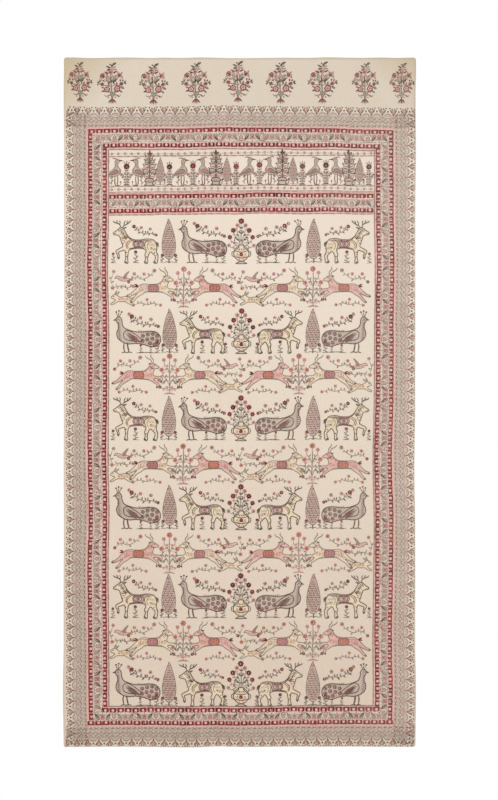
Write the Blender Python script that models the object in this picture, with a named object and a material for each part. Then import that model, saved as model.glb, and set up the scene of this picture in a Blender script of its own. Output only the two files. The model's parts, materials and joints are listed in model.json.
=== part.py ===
"""A block-printed cotton hanging in kalamkari style: one hemmed sheet, hung by its top edge.

Metres, +Z up. +X is to the right of someone who faces the printed side, which points along -Y.
The origin is the middle of the line that the top edge is held along, and the cloth hangs below it.
"""

from collections import namedtuple

import bmesh
import bpy
import numpy as np

# Cut size of the finished cloth, and the make-up of its hem.
CLOTH_WIDTH = 1.350
CLOTH_LENGTH = 2.650
CLOTH_THICKNESS = 0.0012
HEM_WIDTH = 0.008
HEM_STEP = 0.003
HEM_THICKNESS = 0.0024
CORNER_DRAW_IN = 0.0026

# Cells of the sheet between its hems.
CELLS_ACROSS = 36
CELLS_DOWN = 42

MM = 0.001
COTTON_COLOUR = (0.80, 0.69, 0.60, 1.0)
COTTON_ROUGHNESS = 0.92

# The top edge touches the line z = 0 where it is held, and drops a little between those places.
TopPlace = namedtuple("TopPlace", "across drop_mm")
TOP_EDGE = (
    TopPlace(-0.675, 0.4),
    TopPlace(-0.660, 0.2),
    TopPlace(-0.571, 3.2),
    TopPlace(-0.433, 0.7),
    TopPlace(-0.341, 2.8),
    TopPlace(-0.287, 1.3),
    TopPlace(-0.233, 2.4),
    TopPlace(-0.156, 0.6),
    TopPlace(-0.006, 3.8),
    TopPlace(0.105, 2.6),
    TopPlace(0.167, 1.6),
    TopPlace(0.244, 2.3),
    TopPlace(0.336, 0.0),
    TopPlace(0.459, 2.2),
    TopPlace(0.551, 0.9),
    TopPlace(0.601, 2.6),
    TopPlace(0.659, 1.1),
    TopPlace(0.675, 1.3),
)

# The side edges stray out (positive) or in from a straight line on their way down.
SidePlace = namedtuple("SidePlace", "down left_mm right_mm")
SIDE_EDGES = (
    SidePlace(0.00, 0.0, 2.4),
    SidePlace(0.04, 0.0, 2.8),
    SidePlace(0.14, 0.9, 0.8),
    SidePlace(0.36, -0.4, 2.2),
    SidePlace(0.59, -0.6, 0.0),
    SidePlace(0.96, -0.9, 0.0),
    SidePlace(1.33, 0.0, -0.6),
    SidePlace(1.60, 0.8, -3.7),
    SidePlace(1.79, -0.2, -0.6),
    SidePlace(2.06, 1.1, -0.4),
    SidePlace(2.25, 1.0, -0.7),
    SidePlace(2.43, 3.8, 2.2),
    SidePlace(2.65, 1.0, 0.3),
)

# The bottom edge hangs a little lower (positive) or higher than the cloth's length.
BottomPlace = namedtuple("BottomPlace", "across lower_mm")
BOTTOM_EDGE = (
    BottomPlace(-0.675, 0.5),
    BottomPlace(-0.380, -0.3),
    BottomPlace(-0.170, 2.1),
    BottomPlace(-0.080, -1.4),
    BottomPlace(0.010, 0.3),
    BottomPlace(0.270, -1.1),
    BottomPlace(0.410, -1.6),
    BottomPlace(0.540, 0.2),
    BottomPlace(0.675, 0.0),
)

# Soft folds, left to right. Each is a shallow ridge (positive, towards the viewer) or trough that
# starts at "across" under the top edge, moves sideways by "lean" on its way down, and changes depth.
SoftFold = namedtuple("SoftFold", "across half_width lean top_mm middle_mm hem_mm")
SOFT_FOLDS = (
    SoftFold(-0.660, 0.060, 0.000, 0.0, 2.0, 4.5),
    SoftFold(-0.571, 0.065, -0.010, 3.0, 1.5, 0.0),
    SoftFold(-0.500, 0.110, 0.020, 0.0, -3.0, -5.0),
    SoftFold(-0.341, 0.050, 0.000, 2.5, 1.0, 0.0),
    SoftFold(-0.280, 0.120, -0.020, 0.0, 3.5, 6.0),
    SoftFold(-0.110, 0.090, 0.015, 0.5, -2.5, -4.5),
    SoftFold(-0.006, 0.100, 0.010, 3.5, 3.0, 3.0),
    SoftFold(0.105, 0.045, 0.000, 2.0, 0.5, 0.0),
    SoftFold(0.190, 0.100, 0.020, -1.0, -3.5, -5.5),
    SoftFold(0.244, 0.040, 0.000, 1.8, 0.0, 0.0),
    SoftFold(0.360, 0.120, -0.020, 0.0, 3.0, 6.5),
    SoftFold(0.459, 0.060, 0.005, 2.2, 0.0, -1.0),
    SoftFold(0.530, 0.100, 0.010, 0.0, -3.0, -5.0),
    SoftFold(0.650, 0.075, 0.000, 1.5, 3.0, 4.5),
)


def eased(table, column, at):
    """Read a column of a table at a place given by its first column, eased between the rows."""
    places = [row[0] for row in table]
    values = [getattr(row, column) for row in table]
    at = float(np.clip(at, places[0], places[-1]))
    i = min(int(np.searchsorted(places, at, side="right")) - 1, len(table) - 2)
    share = (at - places[i]) / (places[i + 1] - places[i])
    share = share * share * (3.0 - 2.0 * share)
    return values[i] + (values[i + 1] - values[i]) * share


def fold_depth(across, share_down):
    """How far the cloth stands towards the viewer at a place, in metres."""
    depth = 0.0
    for fold in SOFT_FOLDS:
        off = (across - fold.across - fold.lean * share_down) / fold.half_width
        above = fold.top_mm + (fold.middle_mm - fold.top_mm) * min(2.0 * share_down, 1.0)
        below = (fold.hem_mm - fold.middle_mm) * max(2.0 * share_down - 1.0, 0.0)
        depth += (above + below) * np.exp(-off * off)
    return depth * MM


def hung_point(across, down):
    """The place in space of the point that lies at (across, down) on the flat cloth."""
    share_down = down / CLOTH_LENGTH
    left = eased(SIDE_EDGES, "left_mm", down) * MM
    right = eased(SIDE_EDGES, "right_mm", down) * MM
    share_across = across / CLOTH_WIDTH + 0.5
    x = across + right * share_across - left * (1.0 - share_across)
    top = -eased(TOP_EDGE, "drop_mm", across) * MM
    bottom = -CLOTH_LENGTH - eased(BOTTOM_EDGE, "lower_mm", across) * MM
    z = top + (bottom - top) * share_down
    return x, -fold_depth(across, share_down), z


def stations(length, cells):
    """Distances from one edge to the other: the hem, its inner step, and even cells between."""
    first = HEM_WIDTH + HEM_STEP
    inner = np.linspace(first, length - first, cells + 1)
    return [0.0, HEM_WIDTH, *inner, length - HEM_WIDTH, length]


def draw_in_corners(rows):
    """Round the four corners, where the hem is folded over itself."""
    for row in (rows[0], rows[-1]):
        for corner, beside in ((row[0], row[1]), (row[-1], row[-2])):
            corner.co.x += CORNER_DRAW_IN if beside.co.x > corner.co.x else -CORNER_DRAW_IN
    for row, way in ((rows[0], -1.0), (rows[-1], 1.0)):
        row[0].co.z += way * CORNER_DRAW_IN
        row[-1].co.z += way * CORNER_DRAW_IN


def sheet_mesh(name):
    """The cloth's middle surface as a grid that follows its edges and folds."""
    across = [x - CLOTH_WIDTH / 2 for x in stations(CLOTH_WIDTH, CELLS_ACROSS)]
    down = stations(CLOTH_LENGTH, CELLS_DOWN)
    bm = bmesh.new()
    rows = [[bm.verts.new(hung_point(x, d)) for x in across] for d in down]
    for upper, lower in zip(rows, rows[1:]):
        for i in range(len(across) - 1):
            bm.faces.new((upper[i], lower[i], lower[i + 1], upper[i + 1]))
    draw_in_corners(rows)
    bm.normal_update()
    mesh = bpy.data.meshes.new(name)
    bm.to_mesh(mesh)
    bm.free()
    mesh.shade_smooth()
    return mesh, len(down), len(across)


def cotton_material():
    """Undyed cotton under a madder and iron-black block print."""
    material = bpy.data.materials.new("printed_cotton")
    material.use_nodes = True
    shader = material.node_tree.nodes["Principled BSDF"]
    shader.inputs["Base Color"].default_value = COTTON_COLOUR
    shader.inputs["Roughness"].default_value = COTTON_ROUGHNESS
    shader.inputs["Metallic"].default_value = 0.0
    return material


def hem_weights(cloth, rows, columns):
    """Give the turned hem its full thickness, and the single cloth inside it less."""
    group = cloth.vertex_groups.new(name="hem")
    for row in range(rows):
        for column in range(columns):
            in_hem = row < 2 or row > rows - 3 or column < 2 or column > columns - 3
            weight = 1.0 if in_hem else CLOTH_THICKNESS / HEM_THICKNESS
            group.add([row * columns + column], weight, "REPLACE")
    return group


def make_cloth():
    """The hemmed sheet, one closed solid."""
    mesh, rows, columns = sheet_mesh("printed_cloth")
    cloth = bpy.data.objects.new("printed_cloth", mesh)
    bpy.context.scene.collection.objects.link(cloth)
    cloth.data.materials.append(cotton_material())
    solid = cloth.modifiers.new("thickness", "SOLIDIFY")
    solid.thickness = HEM_THICKNESS
    solid.offset = 0.0
    solid.vertex_group = hem_weights(cloth, rows, columns).name
    return cloth


def main():
    for old in list(bpy.data.objects):
        bpy.data.objects.remove(old, do_unlink=True)
    make_cloth()


main()
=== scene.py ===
"""The look of a block-printed cotton hanging in kalamkari style, built as its makers work.

The cloth is one hemmed sheet. Every colour of the print is stamped flat, block by block, and the flat
print is then hung with the cloth by the same function that shapes the solid. Metres, +Z up; the
printed side faces -Y. On the flat cloth x runs to the right of its middle and y down from its top
edge as negative numbers.
"""

import json
import math
from collections import namedtuple
from functools import partial

import bmesh
import bpy
import numpy as np
from bpy.props import FloatProperty, IntProperty, PointerProperty
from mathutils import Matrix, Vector

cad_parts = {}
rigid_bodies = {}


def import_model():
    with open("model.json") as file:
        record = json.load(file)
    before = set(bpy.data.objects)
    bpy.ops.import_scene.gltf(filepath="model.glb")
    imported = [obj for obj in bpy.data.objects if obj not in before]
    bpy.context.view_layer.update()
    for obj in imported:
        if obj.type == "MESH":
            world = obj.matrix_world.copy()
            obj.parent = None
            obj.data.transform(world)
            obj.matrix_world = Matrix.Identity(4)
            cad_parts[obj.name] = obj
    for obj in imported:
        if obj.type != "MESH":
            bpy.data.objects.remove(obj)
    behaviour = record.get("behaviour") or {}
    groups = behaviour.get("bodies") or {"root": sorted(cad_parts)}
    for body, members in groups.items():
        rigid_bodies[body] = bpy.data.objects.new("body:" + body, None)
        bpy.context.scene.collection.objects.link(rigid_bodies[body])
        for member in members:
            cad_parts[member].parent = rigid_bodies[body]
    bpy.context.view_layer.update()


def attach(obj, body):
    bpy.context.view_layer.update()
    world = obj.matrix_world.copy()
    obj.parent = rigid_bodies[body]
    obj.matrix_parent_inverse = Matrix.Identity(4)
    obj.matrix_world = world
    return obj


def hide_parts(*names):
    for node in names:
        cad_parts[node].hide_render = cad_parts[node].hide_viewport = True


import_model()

bl_info = {
    "name": "Printed Cotton Hanging",
    "version": (1, 0, 0),
    "blender": (4, 5, 0),
    "location": "3D View > Sidebar > Hanging",
    "description": "Builds a block-printed cotton hanging on its CAD frame",
    "category": "Object",
}

MM = 0.001
CLOTH_WIDTH = 1.350
CLOTH_LENGTH = 2.650
HEM_WIDTH = 0.008
HEM_STEP = 0.003
CORNER_DRAW_IN = 0.0026

# The tables and functions that shape the cloth are those of the solid, so that both hang alike.
TopPlace = namedtuple("TopPlace", "across drop_mm")
TOP_EDGE = (
    TopPlace(-0.675, 0.4),
    TopPlace(-0.660, 0.2),
    TopPlace(-0.571, 3.2),
    TopPlace(-0.433, 0.7),
    TopPlace(-0.341, 2.8),
    TopPlace(-0.287, 1.3),
    TopPlace(-0.233, 2.4),
    TopPlace(-0.156, 0.6),
    TopPlace(-0.006, 3.8),
    TopPlace(0.105, 2.6),
    TopPlace(0.167, 1.6),
    TopPlace(0.244, 2.3),
    TopPlace(0.336, 0.0),
    TopPlace(0.459, 2.2),
    TopPlace(0.551, 0.9),
    TopPlace(0.601, 2.6),
    TopPlace(0.659, 1.1),
    TopPlace(0.675, 1.3),
)

SidePlace = namedtuple("SidePlace", "down left_mm right_mm")
SIDE_EDGES = (
    SidePlace(0.00, 0.0, 2.4),
    SidePlace(0.04, 0.0, 2.8),
    SidePlace(0.14, 0.9, 0.8),
    SidePlace(0.36, -0.4, 2.2),
    SidePlace(0.59, -0.6, 0.0),
    SidePlace(0.96, -0.9, 0.0),
    SidePlace(1.33, 0.0, -0.6),
    SidePlace(1.60, 0.8, -3.7),
    SidePlace(1.79, -0.2, -0.6),
    SidePlace(2.06, 1.1, -0.4),
    SidePlace(2.25, 1.0, -0.7),
    SidePlace(2.43, 3.8, 2.2),
    SidePlace(2.65, 1.0, 0.3),
)

BottomPlace = namedtuple("BottomPlace", "across lower_mm")
BOTTOM_EDGE = (
    BottomPlace(-0.675, 0.5),
    BottomPlace(-0.380, -0.3),
    BottomPlace(-0.170, 2.1),
    BottomPlace(-0.080, -1.4),
    BottomPlace(0.010, 0.3),
    BottomPlace(0.270, -1.1),
    BottomPlace(0.410, -1.6),
    BottomPlace(0.540, 0.2),
    BottomPlace(0.675, 0.0),
)

SoftFold = namedtuple("SoftFold", "across half_width lean top_mm middle_mm hem_mm")
SOFT_FOLDS = (
    SoftFold(-0.660, 0.060, 0.000, 0.0, 2.0, 4.5),
    SoftFold(-0.571, 0.065, -0.010, 3.0, 1.5, 0.0),
    SoftFold(-0.500, 0.110, 0.020, 0.0, -3.0, -5.0),
    SoftFold(-0.341, 0.050, 0.000, 2.5, 1.0, 0.0),
    SoftFold(-0.280, 0.120, -0.020, 0.0, 3.5, 6.0),
    SoftFold(-0.110, 0.090, 0.015, 0.5, -2.5, -4.5),
    SoftFold(-0.006, 0.100, 0.010, 3.5, 3.0, 3.0),
    SoftFold(0.105, 0.045, 0.000, 2.0, 0.5, 0.0),
    SoftFold(0.190, 0.100, 0.020, -1.0, -3.5, -5.5),
    SoftFold(0.244, 0.040, 0.000, 1.8, 0.0, 0.0),
    SoftFold(0.360, 0.120, -0.020, 0.0, 3.0, 6.5),
    SoftFold(0.459, 0.060, 0.005, 2.2, 0.0, -1.0),
    SoftFold(0.530, 0.100, 0.010, 0.0, -3.0, -5.0),
    SoftFold(0.650, 0.075, 0.000, 1.5, 3.0, 4.5),
)


def eased(table, column, at):
    """A column of a table at places given by its first column, eased between the rows."""
    places = np.array([row[0] for row in table])
    values = np.array([getattr(row, column) for row in table])
    at = np.clip(at, places[0], places[-1])
    i = np.clip(np.searchsorted(places, at, side="right") - 1, 0, len(table) - 2)
    share = (at - places[i]) / (places[i + 1] - places[i])
    share = share * share * (3.0 - 2.0 * share)
    return values[i] + (values[i + 1] - values[i]) * share


def hung(flat):
    """Where the points (x, y, lift) of the flat cloth are when it hangs. Lift is towards the viewer."""
    across, down, lift = flat[:, 0], -flat[:, 1], flat[:, 2]
    share_down = down / CLOTH_LENGTH
    share_across = across / CLOTH_WIDTH + 0.5
    left = eased(SIDE_EDGES, "left_mm", down) * MM
    right = eased(SIDE_EDGES, "right_mm", down) * MM
    top = -eased(TOP_EDGE, "drop_mm", across) * MM
    bottom = -CLOTH_LENGTH - eased(BOTTOM_EDGE, "lower_mm", across) * MM
    depth = np.zeros(len(flat))
    for fold in SOFT_FOLDS:
        off = (across - fold.across - fold.lean * share_down) / fold.half_width
        above = fold.top_mm + (fold.middle_mm - fold.top_mm) * np.minimum(2.0 * share_down, 1.0)
        below = (fold.hem_mm - fold.middle_mm) * np.maximum(2.0 * share_down - 1.0, 0.0)
        depth += (above + below) * np.exp(-off * off) * MM
    x = across + right * share_across - left * (1.0 - share_across)
    return np.column_stack([x, -depth - lift, top + (bottom - top) * share_down])


# Half the cloth's own thickness, and how far the turned hem stands behind it.
HALF_CLOTH = 0.45 * MM
HEM_FOLD = 0.9 * MM
RIM_SWELL = 0.3 * MM

# Each ink lies on its own level, in the order of INKS, and neighbouring marks and stamps of one ink
# step up a little in turn, so that no two areas meet in one plane. Real dyes have no thickness.
FIRST_LEVEL_MM = 0.20
LEVEL_STEP_MM = 0.07
MARK_STEP_MM = 0.012
MARK_STEPS = 5
STAMP_STEP_MM = 0.003
STAMP_STEPS = 4
# Areas larger than this are cut up, so that they bend with the soft folds.
LARGEST_AREA_MM = 15.0
# Points to each charted step of a curve, and corners of the round marks. Small ones get fewer.
SMALL_CURVE_MM = 20.0
SMALL_CURVE_STEPS, CURVE_STEPS = 2, 4
SMALL_DOT_MM = 2.0
SMALL_DOT_SIDES, DOT_SIDES, RING_SIDES = 6, 8, 10
# Shares of a mark's width: a stroke at its ends, and a ring's line.
STROKE_TIP = 0.35
RING_LINE = 0.4
# Where a leaf's outline is taken along its length, and how far its belly lies towards its base.
LEAF_STATIONS = (0.0, 0.2, 0.45, 0.7, 1.0)
LEAF_BELLY = 0.85
# Shares of a flower's reach: its petals' width and its heart.
PETAL_WIDTH = 0.62
FLOWER_HEART = 0.26
BLOSSOM_LOBES = 5
# A print ends this far inside the cloth's edge. A triangle under this area, in square metres, goes.
PRINT_MARGIN = 0.0022
LEAST_AREA = 1e-10

PRINT_SEED = 41
STAMPER = "block_stamper"
# How far a whole block strays from its band's line, and how far it is turned.
BLOCK_SHIFT_MM = 0.5
BLOCK_TILT_DEGREES = 0.22
# The share of the chains' links that are the other way round.
FLIPPED_LINKS = 0.4

# A hem stitch as (distance along it, half thickness) in mm, and where the stitches run.
STITCH_SECTIONS = ((-1.5, 0.10), (-1.0, 0.22), (0.0, 0.26), (1.0, 0.22), (1.5, 0.10))
STITCH_SIDES = 6
STITCH_INSET_MM = 6.2
STITCH_TILT = math.radians(4.0)
STITCH_PROUD = 0.4

# The map for baked colour: its margin, and the share that each face of the sheet has across it.
MAP_MARGIN = 0.01
FACE_SHARE = 0.49
BACK_START = 0.505

# What shows on the back, and with what share of its strength.
SHOWING_THROUGH = {"mauve": 0.45, "pink": 0.45, "rose": 0.4, "grey": 0.45, "madder": 0.5, "black": 0.5}

VIEW_CENTRE = (0.036, 0.0, -1.317)
FLOOR_HALF = 3.4
FLOOR_HEIGHT = -3.35
FLOOR_COLOUR = "#F4F3F1"
FLOOR_ROUGHNESS = 0.9
KEY_SIZE = 2.5
KEY_PLACE = (-2.5, -5.0, 1.5)
CAMERA_REACH = 100.0


def metres(name, description, default, least=0.0):
    """A length in metres among the settings."""
    return FloatProperty(
        name=name, description=description, default=default, min=least, subtype="DISTANCE", unit="LENGTH"
    )


class HangingSheetSettings(bpy.types.PropertyGroup):
    cells_across: IntProperty(
        name="Cells Across", description="Cells of the sheet between its side hems", default=104, min=20
    )
    cells_down: IntProperty(
        name="Cells Down", description="Cells between the top and bottom hems", default=204, min=40
    )
    weave_pitch: metres("Weave Pitch", "Between drawn threads; real ones are too fine", 0.0016, 0.0003)
    stitch_pitch: metres("Stitch Pitch", "Distance between the hem's running stitches", 0.0075, 0.003)


class HangingPrintSettings(bpy.types.PropertyGroup):
    slip: metres("Slip", "How far one colour's block strays from the others", 0.0004)
    tilt: FloatProperty(
        name="Tilt",
        description="How far a block is turned from true by the printer's hand",
        default=math.radians(0.5),
        min=0.0,
        subtype="ANGLE",
        unit="ROTATION",
    )
    seed: IntProperty(name="Seed", description="Fixes the stray of every block", default=PRINT_SEED)
    dryness: FloatProperty(
        name="Dryness",
        description="Share of an ink's colour that is missing where the block held little of it",
        default=0.14,
        min=0.0,
        max=1.0,
        subtype="FACTOR",
    )


class HangingStageSettings(bpy.types.PropertyGroup):
    distance: metres("Camera Distance", "From the cloth to the camera", 12.0, 2.0)
    frame_height: metres("Frame Height", "Height of what the picture shows at the cloth", 3.075, 0.5)
    key_power: FloatProperty(
        name="Key Light Power", description="Of the soft studio light, in watts", default=60.0, min=0.0
    )
    surround: FloatProperty(
        name="Surround", description="Strength of the white studio round the cloth", default=1.0, min=0.0
    )


def linear(hex_colour):
    """An sRGB hex colour as the linear RGBA that shaders take."""
    channels = [int(hex_colour[i : i + 2], 16) / 255 for i in (1, 3, 5)]
    return (*[c / 12.92 if c <= 0.04045 else ((c + 0.055) / 1.055) ** 2.4 for c in channels], 1.0)


def add_node(tree, kind, settings=None, links=None):
    """A node with its settings, sockets given by name or number, and links from other nodes' outputs."""
    node = tree.nodes.new(kind)
    for key, value in (settings or {}).items():
        if isinstance(key, str) and hasattr(node, key):
            setattr(node, key, value)
        else:
            node.inputs[key].default_value = value
    for key, source in (links or {}).items():
        tree.links.new(source, node.inputs[key])
    return node


def new_material(name):
    """An empty material and its node tree."""
    material = bpy.data.materials.new(name)
    material.use_nodes = True
    material.node_tree.nodes.clear()
    return material, material.node_tree


# Cotton's fibre bends light by this much and hardly shines; the threads stand up by a third of a mm.
COTTON = {"IOR": 1.47, "Specular IOR Level": 0.12, "Sheen Roughness": 0.5}
THREAD_RELIEF = {"Strength": 0.35, "Distance": 0.0003}
# Roughness and fuzz of the bare cloth, of the cloth where dye has laid the fibres, and of the thread.
BARE_FINISH = (0.9, 0.05)
DYED_FINISH = (0.88, 0.03)
THREAD_FINISH = (0.8, 0.1)
NOISE_ROUGHNESS = 0.55
NOISE_SHIFT = (1.0, 0.7, 0.3)


def finish_material(tree, colour, height, roughness, sheen):
    """The shader of dry cotton: rough, with a faint fuzz that lightens it at a slant."""
    bump = add_node(tree, "ShaderNodeBump", THREAD_RELIEF, {"Height": height})
    shader = add_node(
        tree,
        "ShaderNodeBsdfPrincipled",
        {**COTTON, "Roughness": roughness, "Sheen Weight": sheen},
        {"Base Color": colour, "Normal": bump.outputs["Normal"]},
    )
    add_node(tree, "ShaderNodeOutputMaterial", None, {"Surface": shader.outputs["BSDF"]})


def noise(tree, place, scale, detail=2.0, stretch=(1.0, 1.0, 1.0), shift=0.0):
    """Noise with this many features a metre, from 0 to 1, stretched along an axis."""
    mapping = add_node(
        tree,
        "ShaderNodeMapping",
        {"Scale": stretch, "Location": [shift * part for part in NOISE_SHIFT]},
        {"Vector": place},
    )
    texture = add_node(
        tree,
        "ShaderNodeTexNoise",
        {"Scale": scale, "Detail": detail, "Roughness": NOISE_ROUGHNESS},
        {"Vector": mapping.outputs["Vector"]},
    )
    return texture.outputs["Fac"]


def ranged(tree, value, low, high, to_low=0.0, to_high=1.0):
    """The value taken from one range to another, and held at that one's ends."""
    node = add_node(
        tree,
        "ShaderNodeMapRange",
        {"clamp": True, "From Min": low, "From Max": high, "To Min": to_low, "To Max": to_high},
        {"Value": value},
    )
    return node.outputs["Result"]


def maths(tree, operation, first, second):
    """One sum on two values, each a number or an output."""
    node = add_node(tree, "ShaderNodeMath", {"operation": operation})
    for socket, value in zip(node.inputs, (first, second)):
        if isinstance(value, (int, float)):
            socket.default_value = value
        else:
            tree.links.new(value, socket)
    return node.outputs["Value"]


def mixed(tree, factor, first, second, blend="MIX"):
    """Two colours mixed; the factor is a number or an output, the colours are RGBA or outputs."""
    node = add_node(tree, "ShaderNodeMix", {"data_type": "RGBA", "blend_type": blend})
    for socket, value in zip((node.inputs[0], node.inputs[6], node.inputs[7]), (factor, first, second)):
        if isinstance(value, (int, float, tuple)):
            socket.default_value = value
        else:
            tree.links.new(value, socket)
    return node.outputs[2]


# Aged cream of the cloth: in the heading, in the field's upper and lower parts, and where it is soiled; the
# soiled colour is also the painted shade at the top hem.
HEADING_COTTON = "#D3C6B5"
UPPER_COTTON = "#E4D6C6"
LOWER_COTTON = "#D5C3B1"
SOIL_AND_SHADE_COTTON = "#BDA98B"
DARKENING_COLOUR = "#5C4B38"

# Where the colours turn from one to the other: heights, or distances right of the middle, in metres.
LOWER_PART = (-0.8, -2.65)
HEADING_PART = (-0.42, -0.24)
TOP_HEM = (-0.012, -0.006)
SIDE_HEM = (0.667, 0.672)
DARKER_LEFT = (-0.64, -0.50)
DARKER_FOOT = (-2.61, -2.53)
WEAKER_RIGHT = (0.1, 0.6)
WEAKER_TOP = (-0.9, -0.2)
# The soiled corners: how far along a slant from the middle they start and end, and the slant itself.
# The left one is the more yellowed, so the distance is taken from a line right of the middle.
CORNERS = (0.42, 0.70)
CORNER_SLANT = 0.9
CORNER_MIDDLE = 0.03
# How much of the soiled colour shows at each place (at the top hem it is painted shade), and how much the
# prints darken at the left side and the foot.
CORNER_SOIL = 0.9
CLOUD_SOIL = 0.12
# The top hem's share is painted shade under its turned fold.
TOP_HEM_SHADE = 0.55
SIDE_HEM_DARKENING = 0.3
LEFT_DARKENING = 0.09
FOOT_DARKENING = 0.16
# The share of the dyes' strength that is left at the right side and at the top.
RIGHT_STRENGTH = 0.93
TOP_STRENGTH = 0.98

# Each unevenness as its features a metre and the part of its noise that counts: faint clouds on the
# cloth, hand-wide worn patches, the grain of the wooden block, and where a fresh block left more dye.
CLOUDS, CLOUD_PART = 3.2, (0.35, 0.7)
WORN, WORN_PART = 9.0, (0.35, 0.65)
GRAIN, GRAIN_PART = 330.0, (0.35, 0.7)
POOLS, POOL_PART = 16.0, (0.38, 0.62)
WORN_SHARE, GRAIN_SHARE = 0.45, 0.55
# The sewing thread's twist, in turns a metre.
TWIST = 1500.0
# Along a thread its noise changes at this share of the pace that it has across it.
ALONG_THREAD = 0.05
# The crossings' share of the thread height, and the shift that gives the weft a noise of its own.
CROSSING_SHARE = 0.25
WEFT_SHIFT = 3.1
# Thread height, and the painted shade and light it gives: the hollows of the weave are darker and the
# raised threads lighter.
WEAVE_HEIGHTS = (0.6, 1.6)
WEAVE_SHADE_TONES = (0.94, 1.04)


def cotton_ground(tree, place):
    """The unprinted cloth's colour, which drifts down its length and is yellowed at the upper corners."""
    axes = add_node(tree, "ShaderNodeSeparateXYZ", None, {"Vector": place})
    height = axes.outputs["Z"]
    soil_and_shade = linear(SOIL_AND_SHADE_COTTON)
    field = mixed(tree, ranged(tree, height, *LOWER_PART), linear(UPPER_COTTON), linear(LOWER_COTTON))
    ground = mixed(tree, ranged(tree, height, *HEADING_PART), field, linear(HEADING_COTTON))
    from_middle = maths(tree, "ABSOLUTE", axes.outputs["X"], 0.0)
    aside = maths(tree, "ABSOLUTE", maths(tree, "SUBTRACT", axes.outputs["X"], CORNER_MIDDLE), 0.0)
    to_corner = maths(tree, "ADD", aside, maths(tree, "MULTIPLY", height, CORNER_SLANT))
    ground = mixed(tree, ranged(tree, to_corner, *CORNERS, 0.0, CORNER_SOIL), ground, soil_and_shade)
    cloud = ranged(tree, noise(tree, place, CLOUDS, 3.0), *CLOUD_PART, 0.0, CLOUD_SOIL)
    ground = mixed(tree, cloud, ground, soil_and_shade)
    # Along the hems the cloth is darker and warmer: at the top this is painted shade under the turned hem,
    # and at the sides the hem is simply made darker.
    top_hem_shade = ranged(tree, height, *TOP_HEM, 0.0, TOP_HEM_SHADE)
    side_hem = ranged(tree, from_middle, *SIDE_HEM, 0.0, SIDE_HEM_DARKENING)
    return mixed(tree, maths(tree, "MAXIMUM", top_hem_shade, side_hem), ground, soil_and_shade)


def darker_left_and_foot(tree, place, colour):
    """The prints are made darker and browner down the left side and along the foot of the cloth, most at
    the edges.
    """
    axes = add_node(tree, "ShaderNodeSeparateXYZ", None, {"Vector": place})
    left = ranged(tree, axes.outputs["X"], *DARKER_LEFT, LEFT_DARKENING, 0.0)
    foot = ranged(tree, axes.outputs["Z"], *DARKER_FOOT, FOOT_DARKENING, 0.0)
    return mixed(tree, maths(tree, "MAXIMUM", left, foot), colour, linear(DARKENING_COLOUR))


def weaker_right_and_top(tree, place):
    """What is left of the dyes' strength: it is less towards the right side and the top."""
    axes = add_node(tree, "ShaderNodeSeparateXYZ", None, {"Vector": place})
    right = ranged(tree, axes.outputs["X"], *WEAKER_RIGHT, 1.0, RIGHT_STRENGTH)
    top = ranged(tree, axes.outputs["Z"], *WEAKER_TOP, 1.0, TOP_STRENGTH)
    return maths(tree, "MULTIPLY", right, top)


def thread_height(tree, place, pitch):
    """Plain weave: warp and weft cross over and under in turn, with slubs along the threads."""
    crossing = add_node(tree, "ShaderNodeTexChecker", {"Scale": 1.0 / pitch}, {"Vector": place})
    warp = noise(tree, place, 1.0 / pitch, 1.0, (1.0, 1.0, ALONG_THREAD))
    weft = noise(tree, place, 1.0 / pitch, 1.0, (ALONG_THREAD, 1.0, 1.0), WEFT_SHIFT)
    slubs = maths(tree, "ADD", warp, weft)
    return maths(tree, "ADD", maths(tree, "MULTIPLY", crossing.outputs["Fac"], CROSSING_SHARE), slubs)


def cotton_material(settings):
    """Plain-weave cotton, scoured and dressed with milk: matt and slightly uneven, so it never glares."""
    material, tree = new_material("plain_weave_cotton")
    place = add_node(tree, "ShaderNodeTexCoord").outputs["Object"]
    height = thread_height(tree, place, settings.weave_pitch)
    ground = cotton_ground(tree, place)
    # Painted shade and light of the weave: the ground is darkened in its hollows and lightened on its
    # raised threads.
    painted_weave_shade = ranged(tree, height, *WEAVE_HEIGHTS, *WEAVE_SHADE_TONES)
    tone = add_node(tree, "ShaderNodeCombineColor", None, {i: painted_weave_shade for i in range(3)})
    colour = mixed(tree, 1.0, ground, tone.outputs["Color"], "MULTIPLY")
    finish_material(tree, colour, height, *BARE_FINISH)
    return material


def ink_material(name, thin, deep, cover, settings, sheet_settings):
    """A vegetable dye in the cotton: it stains the threads, so the weave and dry spots show through."""
    material, tree = new_material(name)
    place = add_node(tree, "ShaderNodeTexCoord").outputs["Object"]
    height = thread_height(tree, place, sheet_settings.weave_pitch)
    ground = cotton_ground(tree, place)
    worn = ranged(tree, noise(tree, place, WORN, 2.0, shift=len(name)), *WORN_PART)
    grain = ranged(tree, noise(tree, place, GRAIN, 2.0, shift=len(name)), *GRAIN_PART)
    patches = maths(tree, "MULTIPLY", worn, WORN_SHARE)
    missing = maths(tree, "ADD", patches, maths(tree, "MULTIPLY", grain, GRAIN_SHARE))
    left = maths(tree, "MULTIPLY", missing, settings.dryness)
    strength = maths(tree, "MULTIPLY", maths(tree, "SUBTRACT", 1.0, left), cover)
    strength = maths(tree, "MULTIPLY", strength, weaker_right_and_top(tree, place))
    pooled = ranged(tree, noise(tree, place, POOLS, 3.0, shift=2.0 * len(name)), *POOL_PART)
    dye = mixed(tree, pooled, linear(thin), linear(deep))
    finish_material(tree, darker_left_and_foot(tree, place, mixed(tree, strength, ground, dye)), height, *DYED_FINISH)
    return material


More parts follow.
